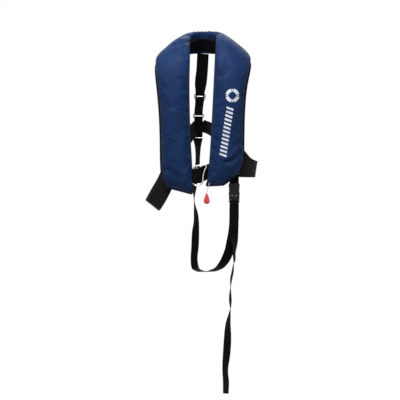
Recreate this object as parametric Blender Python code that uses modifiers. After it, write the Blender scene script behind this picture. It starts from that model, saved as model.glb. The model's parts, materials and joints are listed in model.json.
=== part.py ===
"""Inflatable life jacket as an assembly of separate pieces.

Units are metres. +Z is up, the chest side is -Y and the wearer's left is +X. The origin is on the
back pad's flat face, which rests on the wearer's back. The jacket is modelled as it hangs when
worn: a horseshoe cover over both shoulders, a waist belt and a crotch strap.
"""

import math

import bmesh
import bpy
from mathutils import Matrix, Vector

# Fabric and webbing
FABRIC = 0.0012
WEBBING = 0.0014
BELT_WIDTH = 0.050
SIDE_BELT_WIDTH = 0.056
BACK_BELT_WIDTH = 0.042
CROTCH_WIDTH = 0.032
BACK_TAB_WIDTH = 0.037
SLIDER_WEBBING_WIDTH = 0.031
LOOP_WEBBING_WIDTH = 0.029
LOOP_SIDE_GAP = 0.0024

# Horseshoe: how its cross-section is shared between the outer and the lining side
OUTER_SHARE = 0.62
LINING_SHARE = 0.38
SECTION_POWER = 2 / 2.6
COVER_WRAP = 0.35
LINING_START = 0.47
LOFT_STEP = 0.030

BINDING_RADIUS = 0.0026
BINDING_GAP = 0.0031

# Wires
RING_WIRE = 0.00225
LOOP_WIRE = 0.0016
CORD_RADIUS = 0.0012
WRAP_RADIUS = 0.0037

# Inflator, in the foot of the wearer's left lobe
INFLATOR_Y = -0.247
CYLINDER_X = 0.054
CYLINDER_RADIUS = 0.0105
CAP_X = 0.078
LEVER_PIVOT = Vector((CYLINDER_X, INFLATOR_Y, -0.1645))
LEVER_LENGTH = 0.025
LEVER_PIN_RADIUS = 0.0013
BODY_LOW_Z = -0.160
BODY_HIGH_Z = -0.126
CORD_TOP = Vector((0.0295, INFLATOR_Y, -0.1700))
CORD_END = Vector((0.0125, INFLATOR_Y, -0.2300))
HANDLE_DROP = 0.0018

# Oral tube, in the wearer's right lobe
ORAL_X = -0.080
ORAL_Y = -0.248

# Crotch buckle
BUCKLE_X = 0.106
BUCKLE_Y = -0.236
BUCKLE_TOP = -0.199
SOCKET_END = -0.240
PLUG_END = -0.263

# Each station of a lobe: inner edge, outer edge, thickness; from the foot up to the neck
RIGHT_LOBE = [
    ((-0.0405, -0.236, -0.2330), (-0.1200, -0.235, -0.2120), 0.006),
    ((-0.0390, -0.237, -0.2290), (-0.1280, -0.232, -0.2040), 0.024),
    ((-0.0380, -0.238, -0.2190), (-0.1335, -0.229, -0.1900), 0.038),
    ((-0.0375, -0.238, -0.1950), (-0.1375, -0.226, -0.1670), 0.046),
    ((-0.0375, -0.238, -0.1450), (-0.1400, -0.225, -0.1250), 0.050),
    ((-0.0425, -0.238, -0.0600), (-0.1410, -0.225, -0.0500), 0.050),
    ((-0.0460, -0.238, 0.0500), (-0.1450, -0.225, 0.0500), 0.050),
    ((-0.0470, -0.238, 0.1500), (-0.1530, -0.223, 0.1350), 0.050),
    ((-0.0465, -0.232, 0.2180), (-0.1580, -0.208, 0.1800), 0.048),
    ((-0.0480, -0.200, 0.2700), (-0.1580, -0.165, 0.2080), 0.044),
    ((-0.0480, -0.150, 0.2960), (-0.1490, -0.105, 0.2180), 0.038),
    ((-0.0400, -0.092, 0.3110), (-0.1190, -0.050, 0.2300), 0.032),
    ((-0.0200, -0.055, 0.3180), (-0.0640, -0.020, 0.2470), 0.028),
]
NECK_STATION = ((0.0, -0.042, 0.3200), (0.0, -0.012, 0.2530), 0.026)
LEFT_LOBE = [
    ((0.0150, -0.236, -0.2065), (0.0660, -0.235, -0.2035), 0.006),
    ((0.0145, -0.237, -0.2020), (0.0920, -0.232, -0.1860), 0.024),
    ((0.0150, -0.238, -0.1930), (0.1110, -0.229, -0.1730), 0.038),
    ((0.0170, -0.238, -0.1750), (0.1260, -0.226, -0.1520), 0.046),
    ((0.0215, -0.238, -0.1300), (0.1330, -0.225, -0.1150), 0.050),
    ((0.0270, -0.238, -0.0500), (0.1345, -0.225, -0.0500), 0.050),
    ((0.0325, -0.238, 0.0500), (0.1370, -0.225, 0.0500), 0.050),
    ((0.0375, -0.238, 0.1500), (0.1450, -0.223, 0.1350), 0.050),
    ((0.0415, -0.232, 0.2200), (0.1555, -0.208, 0.1850), 0.048),
    ((0.0460, -0.200, 0.2780), (0.1590, -0.165, 0.2130), 0.044),
    ((0.0475, -0.150, 0.3040), (0.1520, -0.105, 0.2210), 0.038),
    ((0.0410, -0.092, 0.3140), (0.1210, -0.050, 0.2310), 0.032),
    ((0.0200, -0.055, 0.3185), (0.0640, -0.020, 0.2470), 0.028),
]


def clear_scene():
    """Remove every object of the open scene."""
    for old in list(bpy.data.objects):
        bpy.data.objects.remove(old, do_unlink=True)


def make_collection(name):
    """Make a collection linked to the scene."""
    made = bpy.data.collections.new(name)
    bpy.context.scene.collection.children.link(made)
    return made


def make_material(name, colour, roughness, metallic=0.0):
    """Make a plain Principled material."""
    made = bpy.data.materials.new(name)
    made.use_nodes = True
    shader = made.node_tree.nodes["Principled BSDF"]
    shader.inputs["Base Color"].default_value = (*colour, 1.0)
    shader.inputs["Roughness"].default_value = roughness
    shader.inputs["Metallic"].default_value = metallic
    return made


clear_scene()
PARTS = make_collection("life_jacket")
CUTTERS = make_collection("cutters")
MATERIALS = {
    "navy_fabric": make_material("navy_fabric", (0.012, 0.030, 0.110), 0.55),
    "black_fabric": make_material("black_fabric", (0.008, 0.008, 0.010), 0.80),
    "yellow_fabric": make_material("yellow_fabric", (0.850, 0.620, 0.020), 0.45),
    "webbing": make_material("webbing", (0.006, 0.006, 0.007), 0.75),
    "steel": make_material("steel", (0.620, 0.600, 0.570), 0.25, 1.0),
    "cylinder_zinc": make_material("cylinder_zinc", (0.550, 0.560, 0.570), 0.40, 1.0),
    "black_plastic": make_material("black_plastic", (0.010, 0.010, 0.011), 0.45),
    "red_plastic": make_material("red_plastic", (0.750, 0.030, 0.045), 0.30),
    "yellow_plastic": make_material("yellow_plastic", (0.900, 0.650, 0.020), 0.35),
    "green_plastic": make_material("green_plastic", (0.030, 0.420, 0.080), 0.35),
    "white_cord": make_material("white_cord", (0.800, 0.780, 0.740), 0.70),
    "reflective": make_material("reflective", (0.780, 0.800, 0.820), 0.30),
}


def add_object(name, mesh, material):
    """Link a mesh as one named piece with its material."""
    made = bpy.data.objects.new(name, mesh)
    mesh.materials.clear()
    mesh.materials.append(MATERIALS[material])
    PARTS.objects.link(made)
    return made


def mesh_from_bmesh(name, shape):
    """Turn a bmesh into a smooth-shaded mesh with sharp edges kept."""
    mesh = bpy.data.meshes.new(name)
    shape.to_mesh(mesh)
    shape.free()
    mesh.shade_smooth()
    mesh.set_sharp_from_angle(angle=math.radians(40))
    return mesh


def add_cutter(name, mesh):
    """Link a mesh as a cutter that is not part of the object."""
    made = bpy.data.objects.new(name, mesh)
    made.hide_render = True
    made.display_type = "WIRE"
    CUTTERS.objects.link(made)
    return made


def cut_away(piece, cutter):
    """Cut one object out of another with a Boolean."""
    step = piece.modifiers.new("cut_" + cutter.name, "BOOLEAN")
    step.operation = "DIFFERENCE"
    step.solver = "EXACT"
    step.object = cutter


def box_mesh(name, centre, size, bevel=0.0):
    """Make a box mesh, with rounded edges if a bevel is given."""
    shape = bmesh.new()
    bmesh.ops.create_cube(shape, size=1.0)
    bmesh.ops.scale(shape, vec=size, verts=shape.verts)
    if bevel:
        bmesh.ops.bevel(shape, geom=shape.edges, offset=bevel, segments=2, affect="EDGES", profile=0.5)
    bmesh.ops.translate(shape, vec=centre, verts=shape.verts)
    return mesh_from_bmesh(name, shape)


def rod_mesh(name, start, end, radius, sides=16):
    """Make a round rod between two points."""
    start = Vector(start)
    end = Vector(end)
    along = end - start
    turn = along.to_track_quat("Z", "Y").to_matrix().to_4x4()
    place = Matrix.Translation((start + end) / 2) @ turn
    shape = bmesh.new()
    bmesh.ops.create_cone(shape, cap_ends=True, segments=sides, radius1=radius, radius2=radius,
                          depth=along.length, matrix=place)
    return mesh_from_bmesh(name, shape)


def add_wire(name, points, radius, material, cyclic=False):
    """Make a bent wire or cord from a poly curve with a round bevel."""
    curve = bpy.data.curves.new(name, "CURVE")
    curve.dimensions = "3D"
    curve.bevel_depth = radius
    curve.bevel_resolution = 2
    curve.use_fill_caps = not cyclic
    spline = curve.splines.new("POLY")
    spline.points.add(len(points) - 1)
    for slot, point in zip(spline.points, points):
        slot.co = (*point, 1.0)
    spline.use_cyclic_u = cyclic
    return add_object_from_curve(name, curve, material)


def add_object_from_curve(name, curve, material):
    """Link a curve as one named piece with its material."""
    made = bpy.data.objects.new(name, curve)
    curve.materials.append(MATERIALS[material])
    PARTS.objects.link(made)
    return made


def join_meshes(name, curve_object, mesh, material):
    """Weld a wire and a rod into one piece with a Boolean union."""
    graph = bpy.context.evaluated_depsgraph_get()
    solid = bpy.data.meshes.new_from_object(curve_object.evaluated_get(graph))
    welded = bmesh.new()
    welded.from_mesh(solid)
    bmesh.ops.remove_doubles(welded, verts=welded.verts, dist=0.00001)
    made = add_object(name, mesh_from_bmesh(name, welded), material)
    made.matrix_world = curve_object.matrix_world
    bpy.data.objects.remove(curve_object, do_unlink=True)
    extra = add_cutter(name + "_rod", mesh)
    step = made.modifiers.new("join", "BOOLEAN")
    step.operation = "UNION"
    step.solver = "EXACT"
    step.object = extra
    return made


def rounded_corners(corners, radius, steps=4):
    """Round the corners of a closed polygon with short arcs."""
    points = []
    total = len(corners)
    for index, corner in enumerate(corners):
        corner = Vector(corner)
        before = (Vector(corners[index - 1]) - corner).normalized()
        after = (Vector(corners[(index + 1) % total]) - corner).normalized()
        start = corner + before * radius
        end = corner + after * radius
        for step in range(steps + 1):
            t = step / steps
            points.append(start.lerp(corner, t).lerp(corner.lerp(end, t), t))
    return points


def smooth_path(keys, step):
    """Pass a smooth curve through keys, whose first three numbers are a position.

    Tangents are weighted by chord length, so unevenly spaced keys do not overshoot.
    """
    chords = [(Vector(b[:3]) - Vector(a[:3])).length for a, b in zip(keys, keys[1:])]
    slopes = [[(b - a) / chord for a, b in zip(key, following)]
              for key, following, chord in zip(keys, keys[1:], chords)]
    tangents = [slopes[0]]
    for index in range(1, len(keys) - 1):
        left = chords[index - 1]
        right = chords[index]
        tangents.append([(a * right + b * left) / (left + right)
                         for a, b in zip(slopes[index - 1], slopes[index])])
    tangents.append(slopes[-1])
    path = []
    for index, chord in enumerate(chords):
        count = max(1, round(chord / step))
        for part in range(count):
            t = part / count
            h00 = 2 * t ** 3 - 3 * t ** 2 + 1
            h10 = (t ** 3 - 2 * t ** 2 + t) * chord
            h01 = 3 * t ** 2 - 2 * t ** 3
            h11 = (t ** 3 - t ** 2) * chord
            path.append([h00 * a + h10 * m + h01 * b + h11 * n for a, m, b, n in zip(
                keys[index], tangents[index], keys[index + 1], tangents[index + 1])])
    path.append(list(keys[-1]))
    return path


def horseshoe_stations():
    """Give the horseshoe's stations from the right foot, round the neck, to the left foot."""
    keys = RIGHT_LOBE + [NECK_STATION] + LEFT_LOBE[::-1]
    middle = [[(a + b) / 2 for a, b in zip(inner, outer)] + [*inner, *outer, thick]
              for inner, outer, thick in keys]
    stations = []
    path = smooth_path(middle, LOFT_STEP)
    for index, row in enumerate(path):
        inner = Vector(row[3:6])
        outer = Vector(row[6:9])
        ahead = Vector(path[min(index + 1, len(path) - 1)][:3])
        behind = Vector(path[max(index - 1, 0)][:3])
        normal = (ahead - behind).cross(outer - inner).normalized()
        stations.append((inner, outer, normal, row[9]))
    return stations


def signed_power(value, power):
    """Raise a number to a power and keep its sign."""
    return math.copysign(abs(value) ** power, value)


def section_point(station, angle):
    """Give a point of the puffy section: 0 is the inner edge, pi/2 the middle of the outside."""
    inner, outer, normal, thick = station
    across = 0.5 - 0.5 * signed_power(math.cos(angle), SECTION_POWER)
    share = OUTER_SHARE if math.sin(angle) > 0 else LINING_SHARE
    height = thick * share * signed_power(math.sin(angle), SECTION_POWER)
    return inner.lerp(outer, across) + normal * height


def grid_mesh(name, rows, ring=False):
    """Join rows of points into a sheet, or into a tube with end caps."""
    shape = bmesh.new()
    made = [[shape.verts.new(point) for point in row] for row in rows]
    columns = len(rows[0])
    for low, high in zip(made, made[1:]):
        for column in range(columns if ring else columns - 1):
            following = (column + 1) % columns
            shape.faces.new((low[column], low[following], high[following], high[column]))
    if ring:
        shape.faces.new(made[0][::-1])
        shape.faces.new(made[-1])
        bmesh.ops.recalc_face_normals(shape, faces=shape.faces)
    return mesh_from_bmesh(name, shape)


def add_sheet(name, rows, thickness, material, offset=0.0):
    """Make a fabric sheet: an open surface with Solidify."""
    made = add_object(name, grid_mesh(name, rows), material)
    thicken = made.modifiers.new("thickness", "SOLIDIFY")
    thicken.thickness = thickness
    thicken.offset = offset
    return made


def add_strap(name, keys, width, material="webbing", step=0.03, thickness=WEBBING):
    """Make webbing along a path whose keys are a position and the direction of the width.

    A key may end with a width of its own, where the webbing widens.
    """
    path = smooth_path([[*key[0], *key[1], *(key[2:] or (width,))] for key in keys], step)
    rows = []
    for index, row in enumerate(path):
        ahead = Vector(path[min(index + 1, len(path) - 1)][:3])
        behind = Vector(path[max(index - 1, 0)][:3])
        along = (ahead - behind).normalized()
        across = Vector(row[3:6])
        across = (across - along * across.dot(along)).normalized()
        centre = Vector(row[:3])
        half = across * row[6] / 2
        rows.append((centre - half, centre + half))
    return add_sheet(name, rows, thickness, material)


def level(degrees):
    """Give a level direction turned about +Z from +X."""
    angle = math.radians(degrees)
    return (math.cos(angle), math.sin(angle), 0.0)


def upright(degrees):
    """Give an upright direction leaned from +Z towards +X."""
    angle = math.radians(degrees)
    return (math.sin(angle), 0.0, math.cos(angle))


def wrap_round(centre, radius, first, last, steps=5):
    """Give points round an upright bar, from the first to the last angle in degrees."""
    points = []
    for step in range(steps + 1):
        angle = math.radians(first + (last - first) * step / steps)
        points.append((centre[0] + radius * math.cos(angle), centre[1] + radius * math.sin(angle),
                       centre[2]))
    return points


def add_turned(name, profile, centre, material, sides):
    """Spin a profile of radius and height, low end first, about an upright axis."""
    shape = bmesh.new()
    rings = []
    for radius, z in profile:
        count = 1 if radius == 0 else sides
        rings.append([shape.verts.new((centre[0] + radius * math.cos(math.tau * n / count),
                                       centre[1] + radius * math.sin(math.tau * n / count), z))
                      for n in range(count)])
    for low, high in zip(rings, rings[1:]):
        for n in range(sides):
            corners = []
            for ring, index in ((low, n), (low, n + 1), (high, n + 1), (high, n)):
                corner = ring[index % len(ring)]
                if corner not in corners:
                    corners.append(corner)
            shape.faces.new(corners)
    bmesh.ops.recalc_face_normals(shape, faces=shape.faces)
    return add_object(name, mesh_from_bmesh(name, shape), material)


def build_horseshoe():
    """Cover, lining panel, edge binding, bladder and its reflective patches."""
    stations = horseshoe_stations()
    cover_angles = [-COVER_WRAP + (math.pi + 2 * COVER_WRAP) * n / 13 for n in range(14)]
    cover = add_sheet(
        "cover", [[section_point(s, a) for a in cover_angles] for s in stations],
        FABRIC, "navy_fabric", -1.0)
    hole = rod_mesh("cord_exit", CORD_TOP, CORD_END + (CORD_END - CORD_TOP) * 0.2, 0.0030, sides=12)
    cut_away(cover, add_cutter("cord_exit", hole))

    span = math.pi - 2 * LINING_START
    lining_angles = [math.pi + LINING_START + span * n / 5 for n in range(6)]
    add_sheet("lining_panel", [[section_point(s, a) for a in lining_angles] for s in stations],
              FABRIC, "black_fabric", -1.0)

    edge = [s[0] for s in stations] + [s[1] for s in reversed(stations)]
    normals = [s[2] for s in stations] + [s[2] for s in reversed(stations)]
    reach = BINDING_RADIUS + BINDING_GAP
    binding = []
    for index, point in enumerate(edge):
        following = edge[(index + 1) % len(edge)]
        along = (following - edge[index - 1]).normalized()
        outward = along.cross(normals[index]).normalized()
        mitre = max(0.5, along.dot((following - point).normalized()))
        binding.append(point + outward * reach / mitre)
    add_wire("edge_binding", binding, BINDING_RADIUS, "black_fabric", cyclic=True)

    rings = []
    for inner, outer, normal, thick in stations[3:-3]:
        centre = inner.lerp(outer, 0.5) - normal * thick * 0.18
        half = (outer - inner) * 0.36
        rings.append([centre + half * math.cos(a) + normal * thick * 0.10 * math.sin(a)
                      for a in (math.tau * n / 8 for n in range(8))])
    add_object("bladder", grid_mesh("bladder", rings, ring=True), "yellow_fabric")

    for name, x in (("reflective_patch_right", -0.094), ("reflective_patch_left", 0.088)):
        patch = box_mesh(name, (x, -0.2335, 0.070), (0.050, 0.0004, 0.100))
        add_object(name, patch, "reflective")


def build_back():
    """Back tab, slider, loop, back pad and the crotch strap's keeper."""
    level_x = (1.0, 0.0, 0.0)
    slider_z = 0.099
    slider_y = 0.0
    weave = -0.0034
    loop_y = 0.0064
    loop_z = 0.0385
    wrap = 0.0032
    tab = [
        ((0.000, -0.0080, 0.2430), level_x),
        ((-0.003, -0.0040, 0.1900), level_x),
        ((-0.008, -0.0010, 0.1400), level_x),
        ((-0.010, weave, slider_z + 0.009), level_x, SLIDER_WEBBING_WIDTH),
        ((-0.0105, -weave, slider_z), level_x, SLIDER_WEBBING_WIDTH),
        ((-0.011, weave, slider_z - 0.009), level_x, SLIDER_WEBBING_WIDTH),
        ((-0.013, 0.0010, 0.0700), level_x, LOOP_WEBBING_WIDTH),
        ((-0.015, 0.0010, 0.0485), level_x, LOOP_WEBBING_WIDTH),
    ]
    tab += [((-0.0155, loop_y - wrap * math.cos(a), loop_z + wrap * math.sin(a)), level_x, LOOP_WEBBING_WIDTH)
            for a in (math.radians(d) for d in (0, -60, -120, -180))]
    tab += [((-0.015, 0.0085, 0.0495), level_x, LOOP_WEBBING_WIDTH),
            ((-0.0135, 0.0062, 0.0640), level_x, LOOP_WEBBING_WIDTH)]
    add_strap("back_tab", tab, BACK_TAB_WIDTH, step=0.009)

    half = SLIDER_WEBBING_WIDTH / 2 + LOOP_SIDE_GAP
    frame = [(-0.0105 - half, slider_y, slider_z + 0.009), (-0.0105 + half, slider_y, slider_z + 0.009),
             (-0.0105 + half, slider_y, slider_z - 0.009), (-0.0105 - half, slider_y, slider_z - 0.009)]
    rim = add_wire("slider_rim", rounded_corners(frame, 0.003, 3), LOOP_WIRE, "steel", cyclic=True)
    bar = rod_mesh("slider_bar", frame[0][:2] + (slider_z,), frame[1][:2] + (slider_z,), LOOP_WIRE, sides=8)
    join_meshes("back_slider", rim, bar, "steel")

    loop_low_z = loop_z - 0.0115
    half = LOOP_WEBBING_WIDTH / 2 + LOOP_SIDE_GAP
    loop = [(-0.0155 - half, loop_y, loop_z), (-0.0155 + half, loop_y, loop_z),
            (-0.0155 + half, loop_y, loop_low_z), (-0.0155 - half, loop_y, loop_low_z)]
    add_wire("back_loop", rounded_corners(loop, 0.003, 3), LOOP_WIRE, "steel", cyclic=True)

    low_tab = [((-0.0155, 0.0036, -0.010), level_x), ((-0.0155, 0.0032, 0.012), level_x)]
    low_tab += [((-0.0155, loop_y - wrap * math.cos(a), loop_low_z + wrap * math.sin(a)), level_x)
                for a in (math.radians(d) for d in (0, 60, 120, 180))]
    low_tab += [((-0.0155, 0.0100, 0.014), level_x)]
    add_strap("loop_tab", low_tab, LOOP_WEBBING_WIDTH, step=0.008)

    pad_mesh = box_mesh("back_pad", (-0.008, 0.0010, -0.003), (0.044, 0.0020, 0.034))
    add_object("back_pad", pad_mesh, "webbing")
    keeper = [(-0.0175 + x, 0.0130 + y, -0.042)
              for x, y in ((-0.0195, -0.0042), (0.0195, -0.0042), (0.0195, 0.0042), (-0.0195, 0.0042))]
    add_wire("crotch_keeper", rounded_corners(keeper, 0.003, 3), LOOP_WIRE, "steel", cyclic=True)


def build_waist_belt():
    """Waist belt: a back half and a drooping, wider side on each side of the wearer."""
    add_strap("waist_belt_right", [
        ((-0.0160, 0.0056, 0.0010), upright(-30), BACK_BELT_WIDTH),
        ((-0.0410, 0.0050, -0.0250), upright(-44), BACK_BELT_WIDTH),
        ((-0.0600, 0.0030, -0.0480), upright(-50), 0.046),
        ((-0.0900, -0.0080, -0.1050), upright(-58)),
        ((-0.1290, -0.0400, -0.1900), upright(-60)),
        ((-0.1590, -0.0900, -0.2430), upright(-54)),
        ((-0.1735, -0.1400, -0.2720), upright(-50)),
        ((-0.1660, -0.1800, -0.2690), upright(-52)),
        ((-0.1480, -0.2000, -0.2400), upright(-54)),
        ((-0.1280, -0.2085, -0.2010), upright(-50)),
    ], SIDE_BELT_WIDTH, step=0.024)
    add_strap("waist_belt_left", [
        ((-0.0040, 0.0074, 0.0000), upright(8), BACK_BELT_WIDTH),
        ((0.0265, 0.0068, -0.0120), upright(22), BACK_BELT_WIDTH),
        ((0.0500, 0.0050, -0.0270), upright(32), 0.046),
        ((0.0980, -0.0100, -0.0780), upright(38)),
        ((0.1480, -0.0450, -0.1340), upright(26)),
        ((0.1740, -0.0950, -0.1480), upright(14)),
        ((0.1810, -0.1400, -0.1500), upright(8)),
        ((0.1700, -0.1800, -0.1500), upright(4)),
        ((0.1480, -0.2010, -0.1500), upright(0)),
        ((0.1230, -0.2075, -0.1490), upright(0)),
    ], SIDE_BELT_WIDTH, step=0.024)


def build_front_buckle():
    """Front belt ends, the bent wire ring and the cross-bar that locks in it."""
    pivot = (-0.0325, -0.2260, -0.1730)
    bar = (-0.0200, -0.2260, -0.1730)
    up = upright(0)
    right_end = [((-0.1215, -0.2050, -0.1880), upright(-30)), ((-0.0900, -0.2050, -0.1790), upright(-12)),
                 ((-0.0600, -0.2095, -0.1740), up), ((-0.0440, -0.2170, pivot[2]), up)]
    right_end += [(point, up) for point in wrap_round(pivot, WRAP_RADIUS, 90, -90)]
    right_end += [((-0.0400, -0.2248, pivot[2]), up), ((-0.0470, -0.2205, pivot[2]), up)]
    add_strap("front_belt_right", right_end, BELT_WIDTH, step=0.012)

    left_end = [((0.1170, -0.2045, -0.1490), up), ((0.0850, -0.2045, -0.1500), up),
                ((0.0500, -0.2075, -0.1530), upright(3)), ((0.0150, -0.2150, -0.1590), upright(6)),
                ((-0.0060, -0.2215, -0.1680), upright(3))]
    left_end += [(point, up) for point in wrap_round(bar, WRAP_RADIUS, 90, 270)]
    left_end += [((-0.0120, -0.2278, bar[2]), up), ((-0.0060, -0.2262, bar[2]), up)]
    add_strap("front_belt_left", left_end, BELT_WIDTH, step=0.012)

    corners = [(-0.0325, -0.2260, -0.1400), (-0.0325, -0.2260, -0.2050),
               (-0.0010, -0.2310, -0.2040), (0.0105, -0.2310, -0.1370)]
    add_wire("buckle_ring", rounded_corners(corners, 0.008), RING_WIRE, "steel", cyclic=True)
    bar_high = (bar[0], bar[1], -0.1460)
    bar_low = (bar[0], bar[1], -0.2000)
    add_object("buckle_bar", rod_mesh("buckle_bar", bar_high, bar_low, RING_WIRE, sides=12), "steel")


def build_crotch_strap():
    """Crotch strap: rear strand from the back pad, front strand from the buckle, free tail."""
    add_strap("crotch_strap_rear", [
        ((-0.0160, 0.0090, -0.0080), level(0)),
        ((-0.0170, 0.0120, -0.0280), level(0)),
        ((-0.0175, 0.0130, -0.0420), level(0)),
        ((-0.0175, 0.0130, -0.0620), level(40)),
        ((-0.0175, 0.0110, -0.1000), level(62)),
        ((-0.0190, 0.0080, -0.1360), level(62)),
        ((-0.0250, 0.0060, -0.1800), level(60)),
        ((-0.0290, 0.0040, -0.2150), level(66)),
        ((-0.0305, 0.0020, -0.2530), level(88)),
        ((-0.0240, 0.0000, -0.3050), level(64)),
        ((-0.0230, -0.0010, -0.3300), level(56)),
        ((-0.0252, -0.0010, -0.3600), level(42)),
        ((-0.0270, -0.0010, -0.4100), level(38)),
        ((-0.0300, -0.0030, -0.4600), level(42)),
        ((-0.0260, -0.0150, -0.4860), level(36)),
        ((-0.0100, -0.0500, -0.4970), level(28)),
        ((0.0130, -0.1080, -0.4990), level(24)),
        ((0.0370, -0.1620, -0.4950), level(24)),
    ], CROTCH_WIDTH, step=0.022)
    add_strap("crotch_strap_front", [
        ((0.0385, -0.1655, -0.4945), level(24)),
        ((0.0580, -0.2000, -0.4830), level(20)),
        ((0.0750, -0.2200, -0.4600), level(10)),
        ((0.0880, -0.2290, -0.4300), level(4)),
        ((0.0960, -0.2330, -0.3950), level(0)),
        ((0.1030, -0.2350, -0.3550), level(0)),
        ((0.1060, -0.2350, -0.3100), level(0)),
        ((BUCKLE_X, BUCKLE_Y + 0.0036, -0.2760), level(0)),
        ((BUCKLE_X, BUCKLE_Y + 0.0046, -0.2610), level(0)),
    ], CROTCH_WIDTH, step=0.024)
    tail_turns = [
        (0.1060, -0.2405, -0.2655, 0), (0.1055, -0.2420, -0.3000, 0), (0.1050, -0.2440, -0.3400, 0),
        (0.1045, -0.2480, -0.3750, 18), (0.1080, -0.2560, -0.4080, 60), (0.1060, -0.2600, -0.4360, 74),
        (0.1065, -0.2610, -0.4580, 78), (0.1040, -0.2620, -0.4720, 90), (0.1000, -0.2620, -0.5000, 101),
        (0.0955, -0.2620, -0.5220, 102), (0.0938, -0.2620, -0.5500, 90), (0.0929, -0.2620, -0.6000, 75),
        (0.0925, -0.2620, -0.6240, 88), (0.0900, -0.2620, -0.6430, 100), (0.0852, -0.2620, -0.6730, 118),
        (0.0839, -0.2620, -0.7170, 138), (0.0803, -0.2620, -0.7750, 141), (0.0755, -0.2620, -0.8400, 126),
        (0.0780, -0.2620, -0.8700, 128), (0.0776, -0.2620, -0.9130, 124),
    ]
    add_strap("crotch_tail", [((x, y, z), level(turn)) for x, y, z, turn in tail_turns],
              CROTCH_WIDTH, step=0.026)
    add_strap("crotch_short_strap", [
        ((BUCKLE_X, -0.2010, -0.1560), level(0)),
        ((BUCKLE_X, -0.2020, -0.1800), level(0)),
        ((BUCKLE_X, -0.2180, -0.1930), level(0)),
        ((BUCKLE_X, BUCKLE_Y + 0.0070, -0.1975), level(0)),
        ((BUCKLE_X, BUCKLE_Y + 0.0078, -0.2060), level(0)),
    ], CROTCH_WIDTH, step=0.014)


def build_crotch_buckle():
    """Side-release buckle: a hollow socket and a plug with two prongs and a guide."""
    mid_z = (BUCKLE_TOP + SOCKET_END) / 2
    socket_size = (0.038, 0.0125, BUCKLE_TOP - SOCKET_END)
    socket_mesh = box_mesh("crotch_buckle_socket", (BUCKLE_X, BUCKLE_Y, mid_z), socket_size, 0.003)
    socket = add_object("crotch_buckle_socket", socket_mesh, "black_plastic")
    openings = [
        ("socket_mouth", (BUCKLE_X, BUCKLE_Y, SOCKET_END + 0.010), (0.031, 0.0085, 0.044)),
        ("socket_windows", (BUCKLE_X, BUCKLE_Y, SOCKET_END + 0.017), (0.060, 0.0070, 0.014)),
    ]
    for name, centre, size in openings:
        cut_away(socket, add_cutter(name, box_mesh(name, centre, size)))

    base_high = SOCKET_END - 0.0006
    tip = BUCKLE_TOP - 0.0150
    half = 0.018
    outline = [
        (-half, PLUG_END), (half, PLUG_END), (half, base_high), (0.0145, base_high), (0.0140, tip - 0.006),
        (0.0115, tip), (0.0090, tip - 0.003), (0.0090, base_high), (0.0030, base_high),
        (0.0030, tip - 0.004), (-0.0030, tip - 0.004), (-0.0030, base_high), (-0.0090, base_high),
        (-0.0090, tip - 0.003), (-0.0115, tip), (-0.0140, tip - 0.006), (-0.0145, base_high),
        (-half, base_high),
    ]
    shape = bmesh.new()
    flat = [shape.verts.new((BUCKLE_X + x, BUCKLE_Y - 0.0030, z)) for x, z in outline]
    face = shape.faces.new(flat)
    pushed = bmesh.ops.extrude_face_region(shape, geom=[face])
    moved = [item for item in pushed["geom"] if isinstance(item, bmesh.types.BMVert)]
    bmesh.ops.translate(shape, vec=(0, 0.0060, 0), verts=moved)
    bmesh.ops.recalc_face_normals(shape, faces=shape.faces)
    plug = add_object("crotch_buckle_plug", mesh_from_bmesh("crotch_buckle_plug", shape), "black_plastic")
    slot = box_mesh("plug_slot", (BUCKLE_X, BUCKLE_Y, PLUG_END + 0.0085), (0.0325, 0.02, 0.0085))
    cut_away(plug, add_cutter("plug_slot", slot))


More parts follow.
